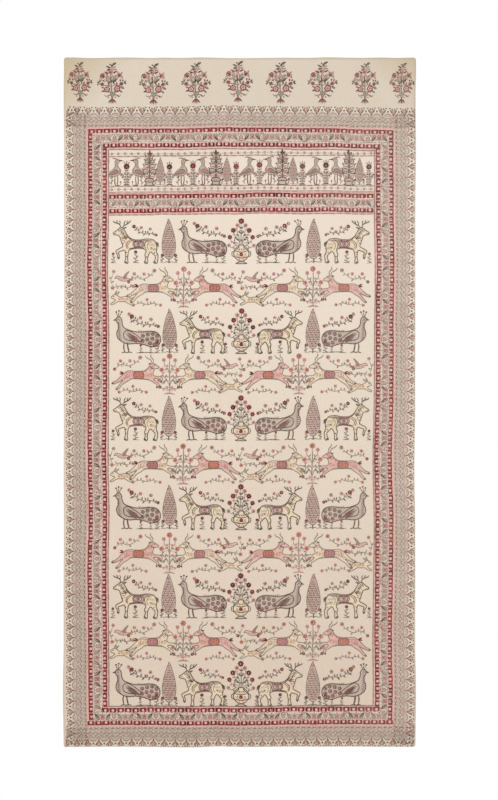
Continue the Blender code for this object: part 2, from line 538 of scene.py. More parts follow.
# Each ink's colour where it lies thin and where it lies deep, and its covering power, from the lowest
# ink to the highest. Iron liquor gives black and greys, madder with alum gives crimson to pink,
# pomegranate rind ochre, and a resist keeps the ground.
INKS = {
    "ochre": ("#E1CFB0", "#DBC7A5", 0.75),
    "mauve": ("#BCA89D", "#B19C8E", 0.86),
    "pink": ("#DDAFA4", "#D5A094", 0.85),
    "pale": ("#E6DACA", "#E2D5C4", 0.85),
    "sage": ("#979585", "#8B8878", 0.86),
    "rose": ("#B0696B", "#A0575B", 0.90),
    "orange": ("#BA6452", "#AB5343", 0.92),
    "rust": ("#B17C58", "#9F6845", 0.88),
    "grey": ("#7A6C61", "#66594F", 0.90),
    "madder": ("#852A32", "#57161B", 1.05),
    "black": ("#4A3B34", "#31261F", 0.96),
}


# Undyed sewing cotton, darker in the hollows of its twist as painted shade and paler on its ridges as
# painted light.
THREAD_HOLLOW_SHADE = "#D8C8B0"
THREAD_RIDGE_LIGHT = "#EADFCD"


def thread_material():
    """Undyed two-ply sewing cotton, a little paler than the cloth it holds."""
    material, tree = new_material("sewing_cotton")
    place = add_node(tree, "ShaderNodeTexCoord").outputs["Object"]
    twist = noise(tree, place, TWIST, 1.0)
    # Painted shade in the twist's hollows and painted light on its ridges.
    colour = mixed(tree, twist, linear(THREAD_HOLLOW_SHADE), linear(THREAD_RIDGE_LIGHT))
    finish_material(tree, colour, twist, *THREAD_FINISH)
    return material


# Charts of the printing blocks. A mark has a shape, its ink or inks, a size in mm, and points in mm. A
# stroke tapers and a loop is a closed one. Leaves are pairs of base and tip, dots are discs and rings
# are circles of that radius. A form is an area in the first ink with an outline in the second, a fill
# is a smooth area, and a poly is a straight-sided one.
Mark = namedtuple("Mark", "shape ink size points")
stroke, loop, leaves, dots, rings, form = (
    partial(Mark, shape) for shape in ("line", "loop", "leaf", "dots", "rings", "form")
)


def fill(ink, points):
    """A smooth area without an outline."""
    return Mark("fill", ink, 0, points)


def poly(ink, points):
    """A straight-sided area."""
    return Mark("poly", ink, 0, points)


def smooth(points, closed=False):
    """Points along a smooth curve through the charted ones."""
    p = np.array(points, float)
    steps = SMALL_CURVE_STEPS if np.ptp(p, axis=0).max() < SMALL_CURVE_MM else CURVE_STEPS
    if len(p) < 3:
        return np.linspace(p[0], p[-1], 3)
    before = np.roll(p, 1, 0) if closed else np.vstack([2 * p[0] - p[1], p[:-1]])
    after = np.roll(p, -1, 0) if closed else np.vstack([p[1:], 2 * p[-1] - p[-2]])
    slope = (after - before) / 2
    ends, end_slopes = np.roll(p, -1, 0), np.roll(slope, -1, 0)
    if not closed:
        p, slope, ends, end_slopes = p[:-1], slope[:-1], ends[:-1], end_slopes[:-1]
    t = np.arange(steps)[:, None] / steps
    parts = [
        (2 * t**3 - 3 * t**2 + 1) * a + (t**3 - 2 * t**2 + t) * m
        + (3 * t**2 - 2 * t**3) * b + (t**3 - t**2) * n
        for a, m, b, n in zip(p, slope, ends, end_slopes)
    ]
    curve = np.vstack(parts)
    return curve if closed else np.vstack([curve, ends[-1]])


def ribbon(curve, width, closed=False):
    """The left and right edges of a stroke. An open one thins towards its ends, as a cut line does."""
    ahead = np.roll(curve, -1, 0) - np.roll(curve, 1, 0)
    if not closed:
        ahead[0], ahead[-1] = curve[1] - curve[0], curve[-1] - curve[-2]
    ahead /= np.maximum(np.linalg.norm(ahead, axis=1), 1e-9)[:, None]
    side = np.column_stack([-ahead[:, 1], ahead[:, 0]])
    share = np.linspace(0, 1, len(curve))
    swell = STROKE_TIP + (1 - STROKE_TIP) * np.sin(np.pi * share) ** 0.5
    half = width / 2 * (1.0 if closed else swell)
    half = np.broadcast_to(half, (len(curve),))[:, None]
    return curve + side * half, curve - side * half


def leaf_outline(base, tip, width):
    """A pointed leaf from its base to its tip, one side and then back down the other."""
    base, tip = np.array(base, float), np.array(tip, float)
    along = tip - base
    side = np.array([-along[1], along[0]]) / max(np.hypot(*along), 1e-9) * width / 2
    belly = [(s, side * math.sin(math.pi * s**LEAF_BELLY)) for s in LEAF_STATIONS]
    out = [base + along * s + off for s, off in belly]
    back = [base + along * s - off for s, off in belly[-2:0:-1]]
    return np.array(out + back)


def circle(centre, radius, sides):
    """Corners of a round mark."""
    turn = np.arange(sides) * math.tau / sides
    return np.array(centre, float) + radius * np.column_stack([np.cos(turn), np.sin(turn)])


def strip(left, right, closed=False):
    """The four-sided faces between a stroke's two edges."""
    n = len(left)
    return [
        np.array([left[i], right[i], right[(i + 1) % n], left[(i + 1) % n]])
        for i in range(n if closed else n - 1)
    ]


def areas(mark):
    """Every (ink, outline) that a mark prints, in mm."""
    inks, size, points = mark.ink.split(), mark.size, mark.points
    if mark.shape == "line":
        return [(inks[0], q) for q in strip(*ribbon(smooth(points), size))]
    if mark.shape == "poly":
        return [(inks[0], np.array(points, float))]
    if mark.shape == "leaf":
        return [(inks[0], leaf_outline(a, b, size)) for a, b in zip(points[::2], points[1::2])]
    if mark.shape == "dots":
        sides = SMALL_DOT_SIDES if size < SMALL_DOT_MM else DOT_SIDES
        return [(inks[0], circle(c, size, sides)) for c in points]
    if mark.shape == "rings":
        rounds = [circle(c, size, RING_SIDES) for c in points]
        return [(inks[0], q) for r in rounds for q in strip(*ribbon(r, size * RING_LINE, True), True)]
    curve = smooth(points, closed=True)
    round_it = [(inks[-1], q) for q in strip(*ribbon(curve, size, True), True)]
    if mark.shape == "loop":
        return round_it
    if mark.shape == "fill":
        return [(inks[0], curve)]
    return [(inks[0], curve)] + round_it


def mirrored(marks):
    """Marks turned over left to right."""
    return [m._replace(points=[(-x, y) for x, y in m.points]) for m in marks]


def both_sides(marks):
    """A chart's half and its mirror image."""
    return [*marks, *mirrored(marks)]


def moved(marks, dx, dy, size=1.0):
    """A chart set elsewhere and at another size inside a bigger one."""
    return [
        m._replace(size=m.size * size, points=[(x * size + dx, y * size + dy) for x, y in m.points])
        for m in marks
    ]


def spray(ink, centre, reach, width, count, start=0.0, inner=0.25):
    """Petals or leaves that stand round a centre."""
    cx, cy = centre
    points = []
    for i in range(count):
        a = math.radians(start) + math.tau * i / count
        for r in (inner * reach, reach):
            points.append((cx + r * math.cos(a), cy + r * math.sin(a)))
    return leaves(ink, width, points)


def rosette(petal, heart, centre, reach, count):
    """A small open flower."""
    petals = spray(petal, centre, reach, reach * PETAL_WIDTH, count)
    return [petals, dots(heart, reach * FLOWER_HEART, [centre])]


def blossom(centre, reach, start):
    """A round flower of the heading: a lobed crimson edge about a pale middle with rose veins."""
    cx, cy = centre
    edge = []
    for i in range(2 * BLOSSOM_LOBES):
        a = math.radians(start) + math.pi * i / BLOSSOM_LOBES
        r = reach * (0.8 if i % 2 else 1.0)
        edge.append((cx + r * math.cos(a), cy + r * math.sin(a)))
    return [
        form("pink madder", reach * 0.3, edge),
        spray("rose", centre, reach * 0.72, reach * 0.3, BLOSSOM_LOBES, start + 20, 0.2),
        dots("madder", reach * 0.17, [centre]),
    ]


def sprig_chart():
    """The flowering plant of the heading, rooted at the origin."""
    calyx = [(-8, 46), (-2, 43), (2, 46), (5, 42), (14, 47), (6, 33), (1, 22), (-3, 31)]
    heart = [(-8, 131), (-5, 142), (0, 148), (4, 141), (7, 132), (0, 125)]
    return [
        stroke("grey", 5.0, [(0, 42), (-1.2, 60), (-2.4, 76), (-1.8, 90)]),
        form("sage grey", 2.4, calyx),
        stroke("grey", 3.2, [(0, 22), (-0.6, 34), (3, 44)]),
        # Root leaves, the two low tendrils and the flecks above the root.
        leaves("madder", 5.8, [(0, 29), (0.6, -1), (2, 20), (17, 4), (-2, 20), (-15, 4)]),
        leaves("rose", 4.4, [(2, 18), (9, 0), (-1, 18), (-8, 1)]),
        leaves("black", 2.8, [(0, 24), (0, 3), (-3, 18), (-12, 6), (4, 18), (14, 6)]),
        dots("grey", 3.0, [(-14, 26), (13, 26)]),
        stroke("rose", 3.4, [(-4, 35), (-13, 33), (-22, 31), (-30, 38)]),
        stroke("grey", 2.6, [(-3, 31), (-9, 36), (-19, 32), (-27, 33)]),
        stroke("rose", 4.0, [(4, 32), (12, 37), (21, 33), (28, 28), (36, 35)]),
        stroke("grey", 3.2, [(2, 27), (11, 36), (20, 34), (27, 29)]),
        leaves("black", 4.6, [(19, 34), (29, 29)]),
        # Stems that carry the flowers.
        stroke("grey", 3.0, [(-1, 48), (-9, 50), (-17, 49), (-26, 51), (-34, 49)]),
        stroke("grey", 3.0, [(0, 46), (10, 49), (22, 47), (32, 51), (41, 46)]),
        stroke("grey", 3.2, [(-2, 66), (-14, 73), (-28, 74), (-42, 82), (-50, 81)]),
        stroke("grey", 3.2, [(-1, 68), (12, 76), (28, 72), (42, 80), (51, 81)]),
        stroke("grey", 3.0, [(-3, 88), (-20, 92), (-30, 99)]),
        stroke("grey", 3.0, [(-1, 88), (16, 96), (26, 104)]),
        # The two low flowers with the leaves about them.
        *blossom((-18.5, 58), 11.0, 10),
        *blossom((21, 60), 12.0, 40),
        leaves("black", 6.0, [
            (-28, 55), (-40, 49), (-30, 64), (-39, 67), (31, 52), (43, 43), (-13, 70), (-8, 77),
        ]),
        form("sage black", 2.6, [(34, 66), (41, 66), (49, 60), (42, 59)]),
        leaves("black", 5.6, [(20, 74), (21, 86)]),
        # The flowers half-way up, open to the sides.
        spray("rose", (-37, 79), 10.0, 5.6, 6, 15),
        spray("madder", (-37, 79), 7.2, 3.8, 5, 50, 0.1),
        leaves("black", 6.0, [
            (-47, 83), (-57, 90), (-43, 88), (-49, 96), (-50, 80), (-57, 77), (-33, 89), (-31, 96),
        ]),
        dots("grey", 2.6, [(-27, 90), (-41, 95)]),
        spray("rose", (38, 78), 9.6, 5.6, 6, 0),
        spray("madder", (38, 78), 7.4, 4.2, 5, 30, 0.1),
        leaves("black", 6.4, [
            (48, 81), (57, 90), (35, 87), (33, 97), (50, 79), (59, 78), (42, 87), (46, 95),
        ]),
        # The flowers above them, which nod outwards.
        spray("rose", (-34, 110), 11.0, 6.0, 6, 40),
        spray("madder", (-34, 110), 8.2, 4.4, 5, 70, 0.1),
        stroke("madder", 3.4, [(-45, 105), (-43, 115), (-35, 121), (-26, 118)]),
        leaves("grey", 4.0, [(-43, 103), (-49, 98), (-25, 103), (-20, 108), (-38, 100), (-42, 95)]),
        spray("rose", (30, 111), 10.4, 5.8, 6, 10),
        spray("madder", (30, 111), 7.2, 4.0, 5, 45, 0.1),
        stroke("rose", 3.8, [(21, 118), (31, 120), (39, 113), (43, 103)]),
        leaves("grey", 4.6, [(36, 106), (44, 98), (37, 116), (42, 126), (24, 120), (24, 127)]),
        # Long upright leaves in the middle, with a crimson shoot between them.
        stroke("mauve", 6.4, [(-11, 80), (-16, 94), (-17, 108), (-21, 120)]),
        stroke("grey", 3.2, [(-9, 78), (-14, 93), (-14, 108), (-19, 122)]),
        stroke("grey", 3.2, [(-14, 80), (-20, 94), (-20, 108), (-23, 120)]),
        leaves("black", 6.4, [(-4, 90), (-15, 76), (4, 90), (12, 76)]),
        leaves("pink", 9.4, [(-2, 90), (-2, 118)]),
        stroke("grey", 3.2, [(-3, 89), (-8, 103), (-2, 118)]),
        stroke("grey", 3.2, [(0, 89), (6, 102), (0, 118)]),
        stroke("madder", 3.4, [(-2, 86), (-3, 98), (-1, 110)]),
        stroke("sage", 8.4, [(3, 90), (9, 99), (16, 113)]),
        stroke("grey", 3.2, [(2, 89), (7, 104), (18, 116)]),
        stroke("grey", 3.2, [(4, 89), (14, 99), (20, 112)]),
        stroke("black", 4.4, [(2, 86), (12, 91), (24, 98)]),
        leaves("madder", 6.0, [(-2, 84), (-2, 97), (8, 88), (19, 91)]),
        # The top: crimson sepals, a pale heart, leaves in pairs, and dark buds.
        stroke("rose", 4.0, [(-20, 118), (-14, 124), (-3, 118), (3, 124), (11, 120)]),
        leaves("madder", 6.0, [(-12, 119), (-30, 129), (6, 121), (23, 130), (-3, 122), (-10, 129)]),
        stroke("grey", 3.0, [(-1, 116), (-1, 126), (0, 138)]),
        form("mauve rose", 2.8, heart),
        leaves("grey", 5.4, [(-7, 133), (-22, 131), (6, 135), (21, 135), (5, 142), (17, 146)]),
        leaves("black", 6.6, [(-4, 141), (-22, 150), (-3, 134), (-18, 137), (0, 147), (4, 156)]),
        stroke("black", 2.4, [(0, 144), (5, 150), (9, 156)]),
        dots("black", 3.0, [(-5, 155)]),
        dots("black", 5.0, [(10, 156)]),
        dots("black", 3.4, [(4, 149), (16, 159)]),
    ]


def arch_chart():
    """One arch of the outer border: x along it, y from its inner edge up to its outer one."""
    half = 20.6
    side = [
        stroke("pale", 3.2, [(0, 82), (3.2, 75), (6.6, 68), (10.8, 60)]),
        leaves("black", 4.0, [(3.6, 80), (11.4, 82.5)]),
        stroke("black", 3.6, [(8.0, 75.5), (11.2, 70), (14.2, 64)]),
        stroke("grey", 2.2, [(13.6, 65), (17.6, 59.5), (half, 55)]),
        stroke("rose", 2.2, [(14.6, 80), (15.8, 73), (19.6, 61)]),
        stroke("grey", 1.4, [(13.4, 79), (14.6, 72), (18.2, 61)]),
        stroke("grey", 2.2, [(0, 58.4), (6, 57.2), (12.4, 51.5)]),
        stroke("grey", 1.7, [(0, 44.4), (6.5, 43.6), (12.6, 41)]),
        leaves("grey", 2.2, [(14.4, 49), (18.4, 42)]),
        dots("grey", 1.5, [(10, 36), (16.6, 33)]),
    ]
    middle = [
        poly("mauve", [
            (-20.9, 0), (20.9, 0), (20.9, 52), (13, 56), (10, 60), (0, 62), (-10, 60), (-13, 56),
            (-20.9, 52),
        ]),
        dots("black", 3.3, [(0, 69)]),
        leaves("pink", 4.6, [(-6, 62.4), (6, 62.4)]),
        fill("pale", [(-8, 51), (-4, 54), (4, 54), (8, 51), (4, 46.5), (-4, 46.5)]),
        leaves("sage", 5.4, [(-7.4, 50.4), (7.4, 50.4)]),
        stroke("pink", 3.0, [(-half, 3.0), (0, 2.8), (half, 3.0)]),
    ]
    valley = [
        fill("pink", [(0, 58), (-3.4, 67), (-4.6, 77), (0, 74), (4.6, 77), (3.4, 67)]),
        leaves("black", 4.4, [(0.6, 51), (-0.4, 60.5)]),
        leaves("grey", 3.0, [(-4.4, 82), (-1.4, 72)]),
        leaves("grey", 3.6, [(1.5, 75), (6.4, 83)]),
        leaves("rose", 2.8, [(0, 60), (0, 71)]),
        stroke("rose", 1.8, [(0, 50), (0.6, 43), (-0.4, 38)]),
    ]
    return both_sides(side) + middle + fine_rows(half) + moved(valley, half, 0)


# Rows of small curled strokes in the outer border: height, ink, strokes to an arch, thickness, shift, curl.
FineRow = namedtuple("FineRow", "height ink count width shift curl")
FINE_ROWS = (
    FineRow(37.0, "rose", 2, 2.0, 0.5, 1.6),
    FineRow(32.0, "grey", 2, 2.2, 0.05, -2.6),
    FineRow(27.4, "sage", 3, 3.0, 0.4, 2.2),
    FineRow(23.0, "grey", 2, 2.1, 0.6, 2.8),
    FineRow(18.2, "rose", 3, 2.0, 0.2, -1.6),
    FineRow(14.4, "sage", 2, 2.6, 0.9, -1.8),
    FineRow(10.2, "black", 2, 2.3, 0.45, 1.5),
    FineRow(6.6, "rust", 3, 1.8, 0.1, 0.8),
)


def link_chart():
    """One link of the crimson chain: x along the band, the leaf band on its lower side."""
    link = [
        (-12.4, 8.2), (-6.0, 7.2), (5.0, 7.0), (12.4, 8.2), (11.6, 3.0), (12.4, -7.6), (3.4, -8.4),
        (2.0, -6.2), (5.0, -4.4), (4.6, 1.4), (2.4, 3.4), (-3.6, 3.8), (-5.4, 1.8), (-5.8, -3.4),
        (-4.4, -5.8), (-6.0, -8.4), (-12.8, -7.4), (-11.2, -2.0),
    ]
    return [
        poly("pink", [(-14.8, -9.4), (14.8, -9.4), (14.8, 14.0), (-14.8, 14.0)]),
        poly("rose", [(7.4, -2.4), (14.6, -3.4), (14.6, 7.6), (7.4, 7.6)]),
        poly("rose", [(-14.6, -3.4), (-8.4, -2.4), (-8.4, 7.6), (-14.6, 7.6)]),
        poly("rose", [(-7, -8.0), (7, -8.0), (7, -5.8), (-7, -5.8)]),
        poly("madder", link),
        stroke("madder", 2.2, [(-14.5, 6.9), (0, 7.1), (14.5, 6.9)]),
    ]


def leaf_band_chart():
    """One whole block of the leaf band. Its joint lies under the right half's flower."""
    joint = [
        stroke("rose", 2.2, [(0, -17), (0.4, 0), (0, 17)]),
        stroke("madder", 3.4, [(0, -35), (0.3, -28), (0, -19)]),
        stroke("madder", 3.4, [(0, 19), (0.3, 28), (0, 35)]),
    ]
    return moved(leaf_unit(False), -43.6, 0) + moved(leaf_unit(True) + joint, 43.6, 0)


def cypress_chart(tall=168.0, wide=52.0):
    """A cypress of the field with scale-like foliage and small plants at its foot."""
    def half_width(y):
        """Half the tree's width at a height."""
        s = min(max((y - 16) / (tall - 16), 0.0), 1.0)
        return wide / 2 * math.sin(math.pi * s**0.62) ** 0.8 if 0 < s < 1 else 0.0
    edge = [(half_width(y), y) for y in np.linspace(20, tall - 5, 9)]
    body = [(0, 16), *edge, (2.5, tall + 2), *[(-x, y) for x, y in reversed(edge)]]
    marks = [
        form("mauve grey", 2.6, body),
        stroke("black", 4.4, [(0, 0), (0.5, 9), (0, 18)]),
        stroke("black", 2.2, [(-22, 1), (-9, 6), (0, 3), (9, 6), (22, 1)]),
    ]
    for row, y in enumerate(np.arange(24, tall - 14, 8.6)):
        reach = half_width(y) - 3.0
        count = max(int(reach // 6), 0)
        shift = 0.5 if row % 2 else 0.0
        for i in range(-count - 1, count + 1):
            x = (i + shift) * 7.4
            if abs(x) > reach:
                continue
            ink = ("black", "rose", "grey", "madder")[(row + 2 * i) % 4]
            marks.append(stroke(ink, 2.4, [(x - 3.3, y), (x, y + 5.4), (x + 3.3, y)]))
            marks.append(dots("rose", 1.5, [(x, y + 0.4)]))
    foot = [
        stroke("grey", 2.0, [(-23, 2), (-27, 14), (-25, 27)]),
        leaves("black", 4.2, [(-26, 9), (-34, 14), (-26, 14), (-19, 19)]),
        leaves("grey", 4.0, [(-25, 3), (-33, 5), (-26, 20), (-33, 25)]),
        *rosette("madder", "black", (-25, 31), 7.4, 6),
    ]
    return marks + both_sides(foot)


def stag_chart():
    """A walking stag under a flowering branch, looking to the right."""
    body = [
        (-74, 84), (-64, 95), (-38, 98), (-8, 93), (18, 96), (36, 108), (47, 126), (56, 140), (66, 145),
        (75, 138), (87, 129), (96, 123), (93, 116), (81, 114), (72, 110), (67, 96), (62, 80), (58, 68),
        (70, 60), (84, 52), (86, 45), (80, 33), (79, 22), (73, 20), (73, 32), (76, 44), (66, 48),
        (52, 52), (48, 40), (47, 20), (51, 4), (47, 0), (38, 0), (39, 18), (37, 38), (32, 53), (14, 58),
        (-8, 60), (-28, 57), (-36, 48), (-31, 34), (-34, 18), (-29, 4), (-33, 0), (-42, 0), (-42, 18),
        (-45, 32), (-54, 46), (-64, 38), (-73, 28), (-72, 14), (-66, 3), (-70, 0), (-80, 0), (-83, 16),
        (-84, 30), (-78, 46), (-80, 64),
    ]
    return [
        form("ochre black", 3.2, body),
        stroke("madder", 3.0, [(-66, 90), (-38, 93), (-8, 88), (18, 91), (33, 102), (44, 118)]),
        stroke("grey", 2.2, [(-60, 86), (-38, 88), (-8, 83), (14, 86)]),
        stroke("madder", 3.0, [(-30, 61), (-8, 64), (14, 62), (33, 58)]),
        *hatch("grey", 2.4, (37, 96), (3.4, 5.9), 8, [(0, 8), (6, 4), (10, -3)]),
        *hatch("black", 1.6, (41, 94), (3.4, 5.9), 7, [(0, 8), (6, 4), (9, -1)]),
        stroke("black", 3.0, [(26, 93), (40, 84), (45, 70), (39, 56)]),
        stroke("madder", 2.4, [(20, 90), (34, 80), (39, 68), (34, 60)]),
        stroke("black", 3.0, [(-46, 93), (-33, 83), (-31, 68), (-38, 53)]),
        stroke("grey", 2.4, [(-54, 90), (-42, 79), (-41, 64), (-48, 52)]),
        *hatch("grey", 1.8, (-76, 50), (5.2, 1.0), 5, [(0, 0), (1, 7), (4, 13)]),
        *hatch("rust", 1.8, (-70, 68), (5.6, 0.6), 5, [(0, 0), (1, 6), (4, 11)]),
        form("mauve black", 2.6, [(-24, 66), (-26, 84), (-12, 93), (4, 93), (16, 84), (14, 68), (-4, 63)]),
        loop("madder", 2.2, [(-19, 70), (-20, 82), (-9, 88), (3, 88), (11, 81), (9, 71), (-4, 68)]),
        *rosette("rose", "black", (-5, 78), 9.0, 8),
        stroke("black", 2.8, [(39, 112), (50, 106), (66, 104)]),
        stroke("madder", 3.0, [(36, 107), (48, 101), (65, 98)]),
        dots("madder", 2.4, [
            (56, 120), (62, 126), (52, 90), (57, 80), (-58, 62), (-70, 42), (44, 44), (-38, 26),
        ]),
        dots("grey", 2.2, [(66, 117), (50, 84), (60, 92), (43, 26), (-79, 34), (76, 38), (62, 136)]),
        rings("black", 3.0, [(73, 131)]),
        stroke("black", 2.0, [(82, 120), (88, 121), (94, 119)]),
        leaves("black", 6.4, [(57, 139), (41, 146)]),
        leaves("black", 7.4, [(-73, 86), (-89, 74), (-76, 84), (-88, 64)]),
        stroke("black", 4.4, [(59, 143), (52, 152), (40, 158), (28, 168), (26, 173)]),
        stroke("black", 3.4, [(52, 152), (52, 162), (46, 172)]),
        stroke("black", 3.4, [(40, 158), (40, 166), (36, 172)]),
        stroke("black", 4.4, [(66, 146), (70, 156), (80, 162), (92, 166), (97, 172)]),
        stroke("black", 3.4, [(70, 156), (68, 166), (72, 173)]),
        stroke("black", 3.4, [(80, 162), (80, 169), (84, 174)]),
        leaves("black", 8.0, [
            (77, 25), (74, 15), (43, 6), (48, -1), (-37, 6), (-31, -1), (-75, 6), (-68, -1),
        ]),
        *moved(tuft_chart(), 5, 0),
        *moved(branch_chart(), -26, 108),
    ]


def peacock_chart():
    """A peacock with its train behind it, looking to the right."""
    body = [
        (52, 50), (60, 62), (61, 78), (55, 94), (56, 108), (62, 117), (64, 126), (58, 134), (49, 133),
        (43, 124), (41, 108), (34, 94), (18, 86), (-2, 80), (-30, 78), (-60, 82), (-84, 78), (-98, 64),
        (-100, 44), (-90, 28), (-66, 24), (-38, 32), (-10, 36), (14, 34), (34, 38),
    ]
    eyes = [
        (-88, 64), (-88, 46), (-78, 32), (-72, 72), (-70, 54), (-61, 37), (-53, 69), (-51, 51),
        (-35, 64), (-34, 46),
    ]
    wing = [(36, 74), (22, 84), (0, 74), (-22, 58), (-34, 46), (-12, 44), (12, 46), (32, 54)]
    marks = [
        form("mauve black", 3.2, body),
        *hatch("grey", 2.2, (-96, 70), (8.6, 0.9), 9, [(0, 0), (6, 5), (10, 9)]),
        *hatch("rose", 1.8, (-96, 36), (9.4, 0.6), 8, [(0, 0), (6, -4), (10, -7)]),
        form("ochre black", 2.8, wing),
        *hatch("madder", 2.4, (24, 77), (-4.6, -6.2), 4, [(0, 0), (-20, -11), (-40, -22)]),
        *hatch("black", 2.2, (29, 72), (-4.6, -6.2), 4, [(0, 0), (-17, -9), (-32, -18)]),
        *hatch("grey", 2.0, (42, 46), (0.6, 7.4), 11, [(0, 0), (5, 3), (10, 1)]),
        *hatch("madder", 2.0, (48, 50), (0.5, 7.4), 9, [(0, 0), (4, 3), (8, 1)]),
        rings("black", 3.0, [(56, 126)]),
        poly("black", [(62.5, 130), (76, 122), (62.5, 120)]),
        stroke("black", 2.2, [(53, 134), (48, 142), (44, 150)]),
        stroke("black", 2.2, [(55, 134), (54, 144), (53, 153)]),
        stroke("black", 2.2, [(57, 134), (60, 142), (62, 150)]),
        dots("madder", 3.2, [(43, 152), (53, 156), (63, 152)]),
        stroke("black", 4.2, [(22, 38), (20, 20), (16, 4)]),
        stroke("black", 4.2, [(34, 40), (36, 22), (33, 4)]),
        stroke("madder", 1.8, [(24, 38), (22, 20), (18, 4)]),
        stroke("black", 3.4, [(4, 1), (16, 4), (27, 1)]),
        stroke("black", 3.4, [(23, 1), (33, 4), (45, 1)]),
        rings("black", 6.0, eyes),
        rings("rose", 3.6, eyes),
        dots("madder", 2.2, eyes),
    ]
    return [
        *marks,
        *moved(tuft_chart(), -28, 0, 0.62),
        *moved(tuft_chart(), -64, 0, 0.5),
        stroke("black", 2.2, [(-82, 1), (-46, 3), (-10, 1)]),
        *moved(branch_chart(), -36, 92, 1.08),
        stroke("grey", 2.2, [(-6, 112), (8, 122), (14, 138)]),
        leaves("black", 4.4, [(2, 118), (12, 114), (10, 126), (2, 134)]),
        *rosette("rose", "madder", (16, 144), 7.4, 6),
    ]


def vase_chart():
    """A footed vase of flowers, the same on both sides."""
    side = [
        stroke("grey", 2.8, [(3, 70), (10, 90), (22, 104), (28, 118)]),
        stroke("grey", 2.6, [(5, 70), (18, 80), (34, 82), (41, 92)]),
        stroke("grey", 2.4, [(4, 72), (8, 100), (15, 120), (15, 136)]),
        stroke("grey", 2.2, [(8, 68), (22, 68), (36, 60), (44, 64)]),
        leaves("black", 5.8, [
            (16, 98), (28, 96), (9, 88), (20, 92), (8, 104), (20, 110), (24, 80), (30, 72),
        ]),
        leaves("grey", 5.6, [
            (12, 118), (2, 126), (27, 84), (22, 94), (4, 84), (-1, 94), (30, 63), (26, 53),
        ]),
        leaves("rose", 4.8, [
            (24, 108), (34, 108), (16, 130), (25, 132), (34, 84), (40, 76), (18, 68), (24, 76),
        ]),
        *rosette("madder", "black", (30, 125), 10.5, 8),
        *rosette("madder", "black", (43, 99), 9.5, 8),
        *rosette("rose", "madder", (15, 144), 9.0, 7),
        *rosette("rose", "black", (47, 68), 8.0, 6),
        rings("rose", 4.6, [(30, 125), (43, 99)]),
        stroke("black", 2.4, [(8, 66), (17, 62), (24, 54), (29, 46)]),
        stroke("black", 2.6, [(22, 26), (34, 28), (35, 42), (27, 46)]),
        *hatch("rust", 1.8, (20, 24), (-3.8, -1.6), 4, [(0, 0), (-2, 6), (-3, 12)]),
    ]
    bowl = [(0, 70), (10, 68), (9, 62), (18, 54), (28, 42), (27, 28), (17, 16), (7, 9), (0, 8)]
    foot = [(0, 10), (7, 8), (14, 3), (21, 0), (0, -1), (-21, 0), (-14, 3), (-7, 8)]
    whole = bowl + [(-x, y) for x, y in reversed(bowl[1:-1])]
    return [
        form("ochre black", 3.0, whole),
        form("mauve black", 2.8, foot),
        stroke("madder", 3.0, [(-22, 47), (0, 43), (22, 47)]),
        stroke("madder", 3.0, [(-22, 25), (0, 21), (22, 25)]),
        *rosette("madder", "black", (0, 34), 8.0, 8),
        dots("black", 2.0, [(-14, 36), (14, 36), (-7, 15), (7, 15), (0, 53), (-8, 54), (8, 54)]),
        *hatch("grey", 1.8, (-12, 48), (6, 0), 5, [(0, 0), (0.5, 5), (0, 9)]),
        stroke("grey", 3.0, [(0, 70), (0, 110), (0, 148)]),
        leaves("black", 5.4, [
            (0, 112), (-9, 120), (0, 112), (9, 120), (0, 132), (-8, 139), (0, 132), (8, 139),
        ]),
        *rosette("madder", "black", (0, 160), 12.0, 8),
        rings("rose", 5.6, [(0, 160)]),
        *both_sides(side),
    ]


